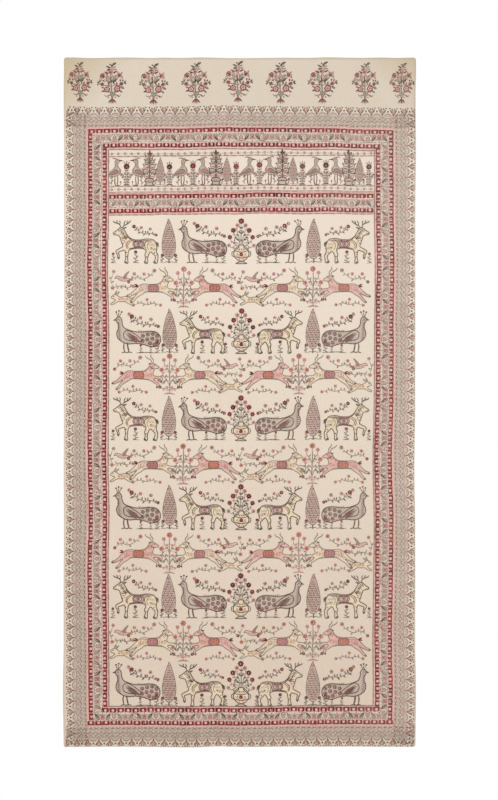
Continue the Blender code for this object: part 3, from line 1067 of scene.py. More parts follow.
def gazelle_chart(coat, saddle):
    """A leaping gazelle, drawn with fine lines."""
    body = [
        (-54, 72), (-38, 81), (-10, 80), (14, 82), (28, 90), (36, 102), (43, 110), (52, 108), (62, 101),
        (69, 96), (66, 91), (55, 90), (50, 82), (48, 70), (56, 64), (70, 63), (82, 56), (77, 44),
        (73, 43), (74, 52), (64, 55), (50, 54), (60, 44), (70, 36), (64, 24), (60, 24), (62, 34),
        (50, 42), (36, 50), (12, 53), (-12, 54), (-30, 52), (-42, 44), (-58, 34), (-70, 20), (-80, 16),
        (-81, 20), (-74, 26), (-64, 40), (-58, 48), (-72, 42), (-86, 36), (-95, 36), (-94, 41),
        (-82, 46), (-68, 58),
    ]
    cloth = [(-16, 56), (-18, 76), (2, 80), (15, 74), (13, 56)]
    return [
        form(f"{coat} grey", 2.6, body),
        stroke("rose", 2.6, [(-48, 75), (-20, 75), (10, 77), (26, 85), (36, 98)]),
        stroke("grey", 1.8, [(-36, 55), (-10, 57), (14, 56), (36, 53)]),
        *hatch("rose", 2.0, (-52, 60), (5.4, 0.8), 6, [(0, 10), (2, 3), (1, -5)]),
        *hatch("grey", 1.8, (-66, 44), (5.0, 3.0), 5, [(0, 8), (3, 4), (4, -2)]),
        *hatch("rust", 1.8, (20, 60), (5.4, 0.4), 5, [(0, 14), (2, 6), (1, -3)]),
        *hatch("grey", 1.7, (32, 84), (3.0, 4.4), 5, [(0, 6), (5, 3), (9, -3)]),
        *hatch("rose", 1.7, (54, 57), (5.0, -1.6), 4, [(0, 4), (1, 1), (0, -2)]),
        *hatch("rose", 1.7, (-90, 38), (6.0, 2.4), 4, [(0, 3), (1, 1), (0, -2)]),
        form(f"{saddle} black", 2.2, cloth),
        *hatch("pale", 1.7, (-12, 59), (0, 5.0), 4, [(0, 0), (10, 2), (23, 0)]),
        dots("madder", 1.7, [(-10, 62), (0, 64), (9, 62), (-11, 72), (0, 74), (10, 71)]),
        dots("rose", 2.0, [(24, 78), (30, 66), (40, 72), (-44, 70), (-38, 60), (44, 96), (50, 92)]),
        dots("black", 1.9, [(54, 102)]),
        stroke("grey", 3.0, [(44, 110), (38, 122), (26, 128), (20, 137)]),
        stroke("grey", 3.0, [(48, 110), (48, 122), (40, 132), (40, 141)]),
        leaves("black", 4.6, [(42, 108), (31, 106)]),
        leaves("madder", 5.4, [(-54, 74), (-69, 80), (-54, 72), (-70, 71)]),
        stroke("madder", 2.4, [(38, 98), (46, 90), (53, 89)]),
        leaves("black", 5.0, [
            (78, 48), (75, 40), (64, 28), (60, 21), (-74, 19), (-83, 15), (-88, 38), (-97, 37),
        ]),
    ]


def companions_chart():
    """A running hare under a flying bird."""
    body = [
        (-30, 26), (-20, 34), (-4, 35), (8, 33), (18, 40), (27, 43), (36, 37), (38, 31), (30, 27),
        (24, 24), (32, 16), (40, 12), (38, 8), (28, 11), (16, 18), (2, 18), (-10, 18), (-20, 12),
        (-34, 6), (-40, 8), (-32, 13), (-26, 18),
    ]
    bird = [(-22, 92), (-6, 88), (10, 92), (18, 99), (26, 98), (20, 106), (10, 104), (-6, 100), (-24, 96)]
    wing = [(-2, 100), (-10, 112), (-22, 122), (-14, 108), (-12, 98)]
    return [
        form("ochre grey", 2.6, body),
        *hatch("rust", 1.8, (-26, 20), (5.2, 0.4), 8, [(0, 10), (2, 5), (1, 0)]),
        leaves("grey", 5.2, [(22, 41), (8, 54), (26, 43), (18, 58)]),
        leaves("rose", 6.0, [(-30, 28), (-38, 34)]),
        dots("black", 2.0, [(30, 36)]),
        dots("orange", 2.2, [(-16, 28), (-8, 24), (0, 28), (10, 26)]),
        form("pink grey", 2.2, bird),
        form("rose grey", 2.2, wing),
        *hatch("grey", 1.6, (-14, 92), (5.4, 0.8), 5, [(0, 4), (2, 2), (2, -1)]),
        leaves("orange", 5.6, [(-22, 94), (-38, 92), (-22, 94), (-37, 98)]),
        stroke("grey", 2.2, [(-34, 70), (-14, 66), (6, 72), (30, 66)]),
        leaves("grey", 5.0, [
            (-26, 69), (-32, 79), (-12, 66), (-8, 77), (-14, 66), (-20, 57), (6, 72), (2, 61),
        ]),
        leaves("sage", 4.6, [(18, 70), (24, 80), (14, 70), (18, 60), (-2, 68), (-2, 78)]),
        *rosette("orange", "black", (34, 66), 7.6, 6),
        *rosette("rose", "madder", (-38, 71), 7.2, 6),
        *rosette("rose", "black", (30, 122), 7.0, 6),
        stroke("grey", 2.0, [(34, 74), (40, 92), (32, 114)]),
        leaves("grey", 4.6, [(38, 84), (28, 90), (39, 96), (46, 104)]),
    ]


def shrub_chart():
    """A flowering shrub with fine stems."""
    side = [
        stroke("grey", 2.4, [(1, 30), (10, 52), (22, 64), (27, 80)]),
        stroke("grey", 2.2, [(3, 46), (14, 48), (28, 42), (34, 46)]),
        stroke("grey", 2.2, [(1, 72), (8, 94), (18, 104), (20, 116)]),
        stroke("grey", 2.0, [(1, 14), (12, 22), (24, 20), (30, 24)]),
        leaves("grey", 5.6, [
            (8, 50), (18, 50), (16, 60), (10, 70), (22, 66), (34, 64), (16, 46), (22, 36), (6, 90),
            (16, 90),
        ]),
        leaves("rose", 5.2, [(12, 98), (4, 106), (3, 60), (12, 66), (3, 22), (14, 30), (26, 74), (16, 78)]),
        leaves("pink", 8.0, [(2, 12), (20, 20), (4, 80), (16, 82), (14, 100), (26, 98)]),
        leaves("sage", 5.0, [(10, 92), (18, 84), (24, 44), (28, 34), (18, 22), (22, 12)]),
        *rosette("orange", "black", (28, 87), 9.4, 7),
        *rosette("rose", "madder", (37, 50), 8.0, 6),
        *rosette("rose", "orange", (20, 122), 7.8, 6),
        *rosette("madder", "rose", (33, 26), 6.6, 6),
    ]
    return [
        stroke("grey", 3.4, [(0, 0), (1, 40), (-1, 90), (0, 128)]),
        leaves("pink", 9.0, [(0, 4), (-18, 2), (0, 4), (18, 2)]),
        stroke("grey", 2.4, [(-20, 0), (0, 4), (20, 0)]),
        *rosette("orange", "black", (0, 136), 11.0, 8),
        *both_sides(side),
    ]


def heron_chart():
    """A standing heron of the frieze, looking to the right."""
    body = [
        (14, 46), (18, 54), (15, 64), (8, 74), (7, 84), (12, 92), (12, 98), (6, 103), (-1, 100),
        (-4, 90), (-3, 76), (-9, 66), (-21, 56), (-30, 44), (-25, 37), (-10, 36), (5, 39),
    ]
    return [
        form("mauve grey", 2.8, body),
        *hatch("grey", 1.9, (-3, 66), (0.6, 5.6), 6, [(0, 0), (4, 3), (8, 1)]),
        poly("madder", [(11.5, 100), (30, 95), (11.5, 93)]),
        stroke("madder", 2.8, [(3, 101), (-6, 106), (-15, 103)]),
        dots("black", 1.8, [(6, 98)]),
        form("rose black", 2.2, [(7, 57), (-4, 61), (-18, 51), (-27, 42), (-10, 43), (5, 47)]),
        *hatch("grey", 1.9, (3, 56), (-1.6, -3.2), 4, [(0, 0), (-9, -3), (-18, -9)]),
        *hatch("black", 1.7, (9, 44), (0.8, 5.0), 4, [(0, 0), (3, 2), (6, 1)]),
        stroke("madder", 3.4, [(-4, 40), (-5, 22), (-3, 2), (7, 0)]),
        stroke("black", 3.2, [(4, 41), (6, 22), (4, 3), (14, 0)]),
        stroke("grey", 2.2, [(-16, 0), (-18, 14), (-15, 30)]),
        leaves("grey", 4.4, [(-17, 8), (-26, 15), (-17, 16), (-10, 24), (-16, 26), (-23, 34)]),
        dots("madder", 2.8, [(-15, 33), (17, 14)]),
        stroke("grey", 2.0, [(15, 0), (18, 8), (17, 14)]),
    ]


def urn_tree_chart():
    """A tiered palmette tree of the frieze, on a footed urn."""
    side = []
    for number, (y, reach) in enumerate(((24, 15), (38, 18), (52, 16), (66, 13), (78, 10))):
        low, high = reach * 0.6, y + 10
        outline = [(2, y), (low, y - 4), (reach, y), (reach, y + 7), (low, high), (3, y + 6)]
        side += [
            form("mauve black" if number % 2 else "pink grey", 2.2, outline),
            stroke("madder", 2.0, [(3, y + 3), (reach * 0.5, y + 1), (reach * 0.8, y + 4)]),
            leaves("black", 3.8, [(reach - 1, y + 7), (reach + 5, y + 13)]),
        ]
    return [
        form("mauve black", 2.6, [
            (-15, 0), (0, -1), (15, 0), (9, 5), (14, 13), (7, 20), (-7, 20), (-14, 13), (-9, 5),
        ]),
        stroke("madder", 2.4, [(-12, 12), (0, 10), (12, 12)]),
        stroke("rose", 2.2, [(-9, 16), (0, 14), (9, 16)]),
        stroke("black", 3.8, [(0, 18), (0, 54), (0, 92)]),
        leaves("madder", 7.0, [(0, 86), (0, 106)]),
        leaves("black", 4.6, [(-1, 88), (-8, 98), (1, 88), (8, 98)]),
        *both_sides(side),
    ]


def small_cypress_chart():
    """The frieze's cypress, cut smaller than the field's."""
    return moved(cypress_chart(160.0, 50.0), 0, 0, 0.66)


def rose_bush_chart():
    """A low bush with one large flower, for the frieze."""
    side = [
        stroke("grey", 2.4, [(0, 20), (8, 34), (17, 40)]),
        leaves("grey", 5.6, [(1, 12), (14, 14), (2, 24), (15, 27), (6, 32), (4, 42), (2, 50), (13, 54)]),
        leaves("black", 4.8, [(1, 6), (11, 3), (10, 35), (20, 32), (1, 44), (10, 48), (1, 58), (9, 64)]),
        leaves("rose", 4.4, [(2, 16), (12, 22), (10, 38), (14, 48)]),
        *rosette("rose", "black", (20, 44), 8.0, 6),
    ]
    return [
        stroke("grey", 3.2, [(0, 0), (1, 36), (0, 66)]),
        *both_sides(side),
        *rosette("madder", "black", (0, 78), 13.5, 8),
        rings("rose", 6.6, [(0, 78)]),
        stroke("black", 2.6, [(-15, 0), (0, 2), (15, 0)]),
        leaves("grey", 4.6, [(0, 90), (0, 103), (-5, 88), (-12, 98), (5, 88), (12, 98)]),
    ]


def rule_chart():
    """A thin line's length of one block, fainter at its middle."""
    return [
        stroke("rose", 2.6, [(-14.4, 0), (0, 0.3), (14.4, 0)]),
        stroke("grey", 1.6, [(-14.4, -2.4), (0, -2.2), (14.4, -2.4)]),
    ]


def edge_rule_chart():
    """The darker line just inside the inner chain, grey over rose."""
    return [
        stroke("rose", 4.4, [(-16.6, 0), (0, 0.3), (16.6, 0)]),
        stroke("grey", 2.8, [(-15.6, -0.4), (0, -0.6), (15.6, -0.4)]),
    ]


def double_rule_chart():
    """Two thin lines, crimson over rust, that close the frieze below."""
    return [
        stroke("rose", 3.4, [(-15.6, 2.4), (0, 2.4), (15.6, 2.4)]),
        stroke("rust", 2.6, [(-15.6, -2.2), (0, -2.2), (15.6, -2.2)]),
    ]


def pip_chart():
    """A small ringed dot with a fleck to each side."""
    return [
        rings("grey", 4.4, [(0, 0)]), dots("grey", 2.1, [(0, 0)]),
        leaves("rose", 3.0, [(-9.4, -2.2), (-9.4, 2.6), (9.4, -2.2), (9.4, 2.6)]),
    ]


def centred(marks):
    """A chart with its width centred on its origin."""
    across = [x for m in marks for x, _ in m.points]
    return moved(marks, -(min(across) + max(across)) / 2, 0)


def hatch(ink, width, start, step, count, first):
    """Parallel strokes, each set on by a step from the one before."""
    marks = []
    for i in range(count):
        points = [(x + start[0] + i * step[0], y + start[1] + i * step[1]) for x, y in first]
        marks.append(stroke(ink, width, points))
    return marks


def fine_rows(half):
    """The fine rows over one arch, with a pale fleck after each stroke."""
    marks = []
    for row in FINE_ROWS:
        pitch = 2 * half / row.count
        for i in range(row.count):
            x = (i + row.shift) * pitch - half
            start, end = (x - 0.34 * pitch, row.height), (x + 0.3 * pitch, row.height)
            marks.append(stroke(row.ink, row.width, [start, (x, row.height + row.curl), end]))
            marks.append(dots("pale", 1.3, [(x + 0.5 * pitch, row.height)]))
    return marks


def leaf_unit(joint):
    """Two paisley leaves on a pale winding stem with a flower between: half of one block."""
    half = 43.6
    bloom, outline = ("madder", "black") if joint else ("grey", "grey")
    side = [
        stroke("pale", 2.6, [(-half, 11.5), (-37, 9), (-31, 0), (-24, -11), (-12, -12), (0, -12.4)]),
        leaves("sage", 8.0, [(-26.5, -6), (-15, 10)]),
        loop(outline, 2.1, [
            (-29, -9), (-26, 3), (-19.5, 11.5), (-13.5, 11), (-14, 5), (-18, -2), (-23, -7),
        ]),
        leaves("madder" if joint else "rose", 3.6, [(-22.5, -3), (-16, 8)]),
        leaves(outline, 4.4, [(-29, -9), (-20.5, 1)]),
        stroke("pink", 2.2, [(-31, -4), (-25, 8), (-14, 14)]),
        dots("sage", 3.2, [(-31.5, 8.5)]),
        leaves("pink", 4.4, [(-7, 12), (-4, 4), (-38, -3), (-34, -10)]),
        dots("pale", 1.7, [(-5, -10), (-12.5, -8), (-40, 2), (-20, 14.5)]),
        leaves("grey", 3.0, [(-42, -14), (-35, -11), (-22, -15), (-12, -14.6), (-27, 14.6), (-21, 15)]),
        leaves("rose", 4.0, [(-11, -2), (-14, -8), (-33, -14.5), (-26, -14), (-7.5, 8), (-3, -2)]),
        leaves("black", 2.2, [(-41, 6), (-36.5, 2), (-38, 14), (-33, 12)]),
        stroke("grey", 1.8, [(half + 7.5, -11), (half + 5, 0), (half + 1, 11)]),
    ]
    flower = [
        poly("mauve", [(-43.9, -17.5), (43.9, -17.5), (43.9, 17.5), (-43.9, 17.5)]),
        leaves("rose", 4.8 if joint else 3.2, [(-7, 12), (-1, -4), (7, 12), (1, -4), (0, 10), (0, -8)]),
        dots(bloom, 1.9, [(-5, 10), (5, 10), (0, 2)]),
        leaves(bloom, 2.8, [(-4, 1), (-7, -7), (4, 1), (7, -7)]),
        leaves("grey", 2.6, [(0, -6), (0, -14), (0, 8), (0, 15)]),
        fill("pink", [
            (half - 7, -10), (half, -12), (half + 7, -10), (half + 3, 0), (half, 11), (half - 3, 0),
        ]),
        leaves("rose", 3.8, [
            (half, -10), (half, 7), (half - 2, -4), (half - 7, -9), (half + 2, -4), (half + 7, -9),
        ]),
        dots("black", 1.8, [(half, 13), (half, -14)]),
    ]
    return both_sides(side) + flower


def tuft_chart():
    """A small flowering plant that fills the ground between larger figures."""
    return [
        stroke("grey", 2.2, [(0, 0), (2, 14), (-1, 28), (1, 40)]),
        leaves("grey", 4.8, [(1, 8), (-11, 13), (1, 16), (12, 22), (0, 25), (-10, 31)]),
        leaves("black", 3.4, [(1, 4), (12, 6), (0, 20), (-7, 22), (1, 31), (8, 36)]),
        stroke("black", 2.0, [(-13, 1), (0, 2), (13, 1)]),
        *rosette("madder", "black", (1, 45), 7.6, 7),
    ]


def branch_chart():
    """A flowering branch for the space over an animal's back."""
    return [
        stroke("grey", 2.6, [(-46, 4), (-28, 14), (-4, 12), (18, 20), (34, 34)]),
        leaves("grey", 5.6, [
            (-34, 10), (-38, 22), (-16, 13), (-16, 25), (6, 14), (2, 27), (22, 22), (18, 35),
        ]),
        leaves("black", 4.4, [
            (-26, 13), (-20, 3), (-6, 12), (2, 3), (14, 18), (23, 11), (28, 28), (38, 24),
        ]),
        leaves("madder", 4.2, [(-40, 6), (-48, 14), (-10, 14), (-7, 24), (28, 30), (24, 40)]),
        *rosette("madder", "black", (38, 40), 8.4, 7),
        *rosette("rose", "madder", (-27, 31), 7.4, 6),
        *rosette("rose", "black", (9, 36), 7.4, 6),
        *rosette("madder", "black", (-52, 6), 6.4, 6),
    ]


def vine_chart():
    """An arching vine with flowers, above and below a running animal."""
    return [
        stroke("grey", 2.2, [(-62, 92), (-42, 104), (-20, 98), (2, 106), (20, 122)]),
        leaves("grey", 5.2, [
            (-52, 99), (-56, 110), (-36, 102), (-34, 113), (-14, 99), (-8, 90), (6, 109), (0, 120),
        ]),
        leaves("sage", 5.0, [(-44, 103), (-40, 94), (-24, 99), (-24, 110), (12, 115), (21, 110)]),
        *rosette("rose", "madder", (24, 128), 8.0, 7),
        *rosette("orange", "black", (-46, 116), 7.0, 6),
        *rosette("rose", "black", (-12, 116), 7.0, 6),
        *rosette("madder", "rose", (-66, 88), 6.4, 6),
        stroke("grey", 2.0, [(-46, 8), (-24, 14), (0, 9), (22, 14), (40, 8)]),
        leaves("grey", 4.8, [
            (-34, 12), (-34, 22), (-12, 12), (-16, 3), (10, 11), (10, 22), (30, 12), (26, 3),
        ]),
        leaves("rose", 4.4, [(-24, 13), (-20, 23), (2, 10), (-2, 20), (20, 13), (24, 22)]),
        *rosette("orange", "black", (-50, 7), 6.4, 6),
        *rosette("rose", "madder", (45, 7), 6.4, 6),
        *rosette("rose", "black", (-2, 27), 6.4, 6),
    ]


def level_of(ink):
    """Height of an ink's areas above the cloth's face, in mm."""
    return FIRST_LEVEL_MM + LEVEL_STEP_MM * list(INKS).index(ink)


def cut_up(bm):
    """Cut the areas that are too large to bend with the folds, on a square grid."""
    limit = LARGEST_AREA_MM * MM
    for axis in (0, 1):
        across = [v.co[axis] for v in bm.verts]
        for k in range(math.ceil(min(across) / limit), math.floor(max(across) / limit) + 1):
            large = [f for f in bm.faces if spread(f, axis) > limit]
            if not large:
                break
            edges = {e for f in large for e in f.edges}
            points = {v for f in large for v in f.verts}
            normal = (1.0 - axis, float(axis), 0.0)
            place = (k * limit * (1 - axis), k * limit * axis, 0.0)
            bmesh.ops.bisect_plane(bm, geom=[*large, *edges, *points], plane_co=place, plane_no=normal)


def spread(face, axis):
    """How far a face reaches along an axis."""
    places = [v.co[axis] for v in face.verts]
    return max(places) - min(places)


def block_mesh(name, marks, ink):
    """What one block prints in one ink, flat, or None where it prints nothing."""
    bm = bmesh.new()
    for number, mark in enumerate(marks):
        level = (level_of(ink) + MARK_STEP_MM * (number % MARK_STEPS)) * MM
        for colour, outline in areas(mark):
            if colour == ink:
                bm.faces.new([bm.verts.new((x * MM, y * MM, level)) for x, y in outline])
    if not bm.faces:
        bm.free()
        return None
    bmesh.ops.remove_doubles(bm, verts=bm.verts, dist=MM * MARK_STEP_MM / 4)
    bmesh.ops.triangulate(bm, faces=[f for f in bm.faces if len(f.verts) > 4], ngon_method="EAR_CLIP")
    cut_up(bm)
    bmesh.ops.triangulate(bm, faces=bm.faces)
    mesh = bpy.data.meshes.new(name)
    bm.to_mesh(mesh)
    bm.free()
    return mesh


def stamper_tree():
    """Geometry Nodes that press a block at each point, turned and sized, with the hand's small stray."""
    if STAMPER in bpy.data.node_groups:
        return bpy.data.node_groups[STAMPER]
    tree = bpy.data.node_groups.new(STAMPER, "GeometryNodeTree")
    inputs = (
        ("Places", "Geometry"), ("Blocks", "Collection"), ("Ink", "Material"), ("Slip", "Float"),
        ("Tilt", "Float"), ("Seed", "Int"),
    )
    for name, kind in inputs:
        tree.interface.new_socket(name, in_out="INPUT", socket_type=f"NodeSocket{kind}")
    tree.interface.new_socket("Print", in_out="OUTPUT", socket_type="NodeSocketGeometry")
    given = add_node(tree, "NodeGroupInput").outputs
    named = {
        name: add_node(tree, "GeometryNodeInputNamedAttribute", {"data_type": kind, "Name": name})
        for name, kind in (("turn", "FLOAT"), ("size", "FLOAT_VECTOR"), ("block", "INT"))
    }
    back_slip, back_tilt = (maths(tree, "MULTIPLY", given[name], -1.0) for name in ("Slip", "Tilt"))
    least = add_node(tree, "ShaderNodeCombineXYZ", None, {"X": back_slip, "Y": back_slip})
    most = add_node(tree, "ShaderNodeCombineXYZ", None, {"X": given["Slip"], "Y": given["Slip"]})
    slip = add_node(
        tree,
        "FunctionNodeRandomValue",
        {"data_type": "FLOAT_VECTOR"},
        {0: least.outputs[0], 1: most.outputs[0], "Seed": given["Seed"]},
    )
    moved_places = add_node(
        tree, "GeometryNodeSetPosition", None, {"Geometry": given["Places"], "Offset": slip.outputs[0]}
    )
    tilt = add_node(
        tree,
        "FunctionNodeRandomValue",
        {"data_type": "FLOAT"},
        {2: back_tilt, 3: given["Tilt"], "Seed": given["Seed"]},
    )
    turned = maths(tree, "ADD", named["turn"].outputs[0], tilt.outputs[1])
    rotation = add_node(tree, "ShaderNodeCombineXYZ", None, {"Z": turned})
    blocks = add_node(
        tree,
        "GeometryNodeCollectionInfo",
        {"transform_space": "ORIGINAL", "Separate Children": True, "Reset Children": True},
        {"Collection": given["Blocks"]},
    )
    pressed = add_node(
        tree,
        "GeometryNodeInstanceOnPoints",
        {"Pick Instance": True},
        {
            "Points": moved_places.outputs["Geometry"],
            "Instance": blocks.outputs[0],
            "Instance Index": named["block"].outputs[0],
            "Rotation": rotation.outputs[0],
            "Scale": named["size"].outputs[0],
        },
    )
    real = add_node(tree, "GeometryNodeRealizeInstances", None, {"Geometry": pressed.outputs[0]})
    inked = add_node(
        tree, "GeometryNodeSetMaterial", None, {"Geometry": real.outputs[0], "Material": given["Ink"]}
    )
    add_node(tree, "NodeGroupOutput", None, {"Print": inked.outputs[0]})
    return tree


def stamped(name, blocks, stamps, material, slip, tilt, seed):
    """The flat print of these stamps as (points, faces), from Geometry Nodes on one point a stamp."""
    collection = bpy.data.collections.new(f"{name}_blocks")
    order = sorted(blocks)
    for chart in order:
        collection.objects.link(bpy.data.objects.new(f"{name}_{chart}", blocks[chart]))
    chosen = [s for s in stamps if s.chart in blocks]
    places = [
        (s.x * MM, s.y * MM, MM * STAMP_STEP_MM * (i % STAMP_STEPS)) for i, s in enumerate(chosen)
    ]
    mesh = bpy.data.meshes.new(f"{name}_places")
    mesh.from_pydata(places, [], [])
    columns = (
        ("turn", "FLOAT", "value", [math.radians(s.turn) for s in chosen]),
        ("size", "FLOAT_VECTOR", "vector", [v for s in chosen for v in (s.size * s.flip, s.size, 1.0)]),
        ("block", "INT", "value", [order.index(s.chart) for s in chosen]),
    )
    for attribute, kind, field, values in columns:
        mesh.attributes.new(attribute, kind, "POINT").data.foreach_set(field, values)
    owner = bpy.data.objects.new(f"{name}_places", mesh)
    bpy.context.scene.collection.objects.link(owner)
    modifier = owner.modifiers.new("stamper", "NODES")
    modifier.node_group = stamper_tree()
    given = {"Blocks": collection, "Ink": material, "Slip": slip, "Tilt": tilt, "Seed": seed}
    for socket in modifier.node_group.interface.items_tree:
        if socket.name in given:
            modifier[socket.identifier] = given[socket.name]
    depsgraph = bpy.context.evaluated_depsgraph_get()
    result = bpy.data.meshes.new_from_object(owner.evaluated_get(depsgraph), depsgraph=depsgraph)
    points = np.empty(len(result.vertices) * 3)
    result.vertices.foreach_get("co", points)
    faces = np.array([tuple(p.vertices) for p in result.polygons])
    for leftover in [owner, *collection.objects]:
        bpy.data.objects.remove(leftover, do_unlink=True)
    bpy.data.collections.remove(collection)
    bpy.data.meshes.remove(result)
    if not len(faces):
        raise RuntimeError(f"{name}: the stamper printed nothing")
    return points.reshape(-1, 3), faces


def tidied(points, triangles):
    """A flat print drawn back inside the cloth's edge, with every printed side up, mirrored ones too."""
    half = CLOTH_WIDTH / 2 - PRINT_MARGIN
    points[:, 0] = points[:, 0].clip(-half, half)
    points[:, 1] = points[:, 1].clip(PRINT_MARGIN - CLOTH_LENGTH, -PRINT_MARGIN)
    a, b, c = (points[triangles[:, i], :2] for i in range(3))
    area = ((b[:, 0] - a[:, 0]) * (c[:, 1] - a[:, 1]) - (b[:, 1] - a[:, 1]) * (c[:, 0] - a[:, 0])) / 2
    triangles = np.where((area < 0)[:, None], triangles[:, ::-1], triangles)[np.abs(area) > LEAST_AREA]
    used, places = np.unique(triangles, return_inverse=True)
    return points[used], places.reshape(triangles.shape)


def add_piece(name, flat, faces, material):
    """A finished piece of the hanging, with its flat coordinates as its map for baked colour."""
    mesh = bpy.data.meshes.new(name)
    mesh.from_pydata(hung(flat).tolist(), [], faces.tolist())
    mesh.materials.append(material)
    mesh.shade_smooth()
    low, high = flat[:, :2].min(axis=0), flat[:, :2].max(axis=0)
    corners = np.empty(len(mesh.loops), dtype=np.int32)
    mesh.loops.foreach_get("vertex_index", corners)
    places = MAP_MARGIN + (1 - 2 * MAP_MARGIN) * (flat[corners, :2] - low) / (high - low)
    mesh.uv_layers.new(name="OFBake").data.foreach_set("uv", places.ravel())
    piece = bpy.data.objects.new(name, mesh)
    bpy.context.scene.collection.objects.link(piece)
    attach(piece, "root")
    return piece


def ink_for(ink, share=1.0):
    """The material of an ink, or of its show-through on the back where share is less than 1."""
    name = f"{ink}_dye" if share == 1.0 else f"{ink}_dye_behind"
    if name in bpy.data.materials:
        return bpy.data.materials[name]
    scene = bpy.context.scene
    thin, deep, cover = INKS[ink]
    return ink_material(name, thin, deep, cover * share, scene.hanging_print, scene.hanging_sheet)


# The flat prints of each ink, kept so that the back can show them through the cloth.
PRINTED = {}


def print_region(region, charts, stamps):
    """One piece for each ink of a region."""
    settings = bpy.context.scene.hanging_print
    for number, ink in enumerate(INKS):
        meshes = {name: block_mesh(f"{region}_{name}_{ink}", marks, ink) for name, marks in charts.items()}
        blocks = {name: mesh for name, mesh in meshes.items() if mesh}
        if not blocks:
            continue
        name = f"{region}_{ink}"
        flat, faces = stamped(
            name, blocks, stamps, ink_for(ink), settings.slip, settings.tilt, settings.seed + number
        )
        flat, faces = tidied(flat, faces)
        PRINTED.setdefault(ink, []).append((flat.copy(), faces))
        flat[:, 2] += HALF_CLOTH
        add_piece(name, flat, faces, ink_for(ink))


# Where a block is pressed, in mm on the flat cloth: its chart's origin, turn in degrees, size and flip.
Stamp = namedtuple("Stamp", "chart x y turn size flip")

# The printed bands stray from straight lines: down (+) across the cloth, right (+) down its length.
AcrossStray = namedtuple("AcrossStray", "across top frieze bottom")
ACROSS_STRAY = (
    AcrossStray(-590, 1.5, 4.0, 2.0),
    AcrossStray(-450, 1.0, 4.0, 1.5),
    AcrossStray(-317, 0.2, 1.5, 0.0),
    AcrossStray(-183, -0.4, 0.8, 0.0),
    AcrossStray(-48, -5.0, -1.2, 2.5),
    AcrossStray(86, -3.2, -3.6, 1.0),
    AcrossStray(221, -0.6, -1.0, -1.0),
    AcrossStray(355, 1.0, -0.4, -1.5),
    AcrossStray(451, 3.2, 1.2, -1.5),
    AcrossStray(590, 6.0, 1.2, -2.5),
)
DownStray = namedtuple("DownStray", "down left right")
DOWN_STRAY = (
    DownStray(200, 0.0, -2.0),
    DownStray(356, -0.8, -1.2),
    DownStray(587, 0.0, 2.0),
    DownStray(817, -3.5, 4.2),
    DownStray(1048, 0.4, 1.5),
    DownStray(1279, 0.4, 1.5),
    DownStray(1509, -0.8, -1.5),
    DownStray(1740, 2.3, 0.8),
    DownStray(1971, -1.2, 0.0),
    DownStray(2201, 1.2, -3.5),
    DownStray(2432, 4.6, -3.5),
    DownStray(2638, 6.5, -7.0),
)

# The sides of the nested borders: where each band's line lies on the flat cloth, in mm from its middle
# or down from its top edge, and how far its blocks are turned.
Side = namedtuple("Side", "name turn arches outer_chain leaves inner_chain rule")
SIDES = (
    Side("top", 0, 271.0, 280.0, 308.0, 336.5, 353.0),
    Side("left", 90, -584.0, -575.0, -546.5, -518.5, -504.5),
    Side("bottom", 180, 2566.5, 2557.5, 2531.5, 2507.0, 2494.0),
    Side("right", -90, 591.0, 582.0, 556.0, 530.0, 517.0),
)
ARCH_PITCH = 41.2
LINK_PITCH = 29.1
LEAF_PITCH = 174.5
# Arches from their inner edge to their outer one, and how far the side ones run over the others.
ARCH_DEPTH = 82.0
SIDE_OVER_TOP = 57.0
SIDE_OVER_FOOT = 72.16
# Half the depth of a chain and of a leaf band.
CHAIN_HALF = 8.7
LEAF_HALF = 16.0


def band(chart, side, line, start, end, pitch, turn, per_block):
    """Stamps along a side from start to end. Each wooden block holds several, and strays as one."""
    across = side in ("top", "bottom", "frieze")
    table, place = (ACROSS_STRAY, "across") if across else (DOWN_STRAY, "down")
    count = max(round((end - start) / pitch), 1)
    pitch = (end - start) / count
    random = np.random.default_rng(abs(int(line * 10)) + PRINT_SEED)
    blocks = count // per_block + 1
    shift = random.normal(0.0, BLOCK_SHIFT_MM, (blocks, 2))
    tilt = random.normal(0.0, BLOCK_TILT_DEGREES, blocks)
    stamps = []
    for i in range(count):
        block = i // per_block
        along = start + (i + 0.5) * pitch
        from_middle = (i - (block + 0.5) * per_block + 0.5) * pitch
        off = float(eased(table, side, along)) + shift[block, 1]
        off += math.radians(tilt[block]) * from_middle * (-1 if across else 1)
        along += shift[block, 0]
        x, y = (along, -(line + off)) if across else (line + off, -along)
        flip = -1 if chart == "link" and random.random() < FLIPPED_LINKS else 1
        stamps.append(Stamp(chart, x, y, turn + tilt[block], 1.0, flip))
    return stamps


def nested_borders():
    """The stamps of the outer arches and of the two chains with the leaf band between them."""
    top, left, bottom, right = SIDES
    stamps = []
    for side in SIDES:
        across = side.name in ("top", "bottom")
        first, last = (left, right) if across else (top, bottom)
        over = (ARCH_DEPTH, ARCH_DEPTH) if across else (SIDE_OVER_TOP, SIDE_OVER_FOOT)
        # Bands across end flush with the outsides of the upright ones, which stop between them.
        way = 1 if across else -1
        chain, leaf = way * CHAIN_HALF, way * LEAF_HALF
        spans = (
            ("arch", "arches", ARCH_PITCH, 0, 4, *over),
            ("link", "outer_chain", LINK_PITCH, 0, 6, chain, chain),
            ("leaves", "leaves", LEAF_PITCH, 0, 1, leaf, leaf),
            ("link", "inner_chain", LINK_PITCH, 180, 6, chain, chain),
            ("edge_rule", "rule", LINK_PITCH, 0, 6, 0.0, 0.0),
        )
        for chart, name, pitch, more, per_block, before, after in spans:
            start, end = getattr(first, name) - before, getattr(last, name) + after
            line = getattr(side, name)
            stamps += band(chart, side.name, line, start, end, pitch, side.turn + more, per_block)
    return stamps


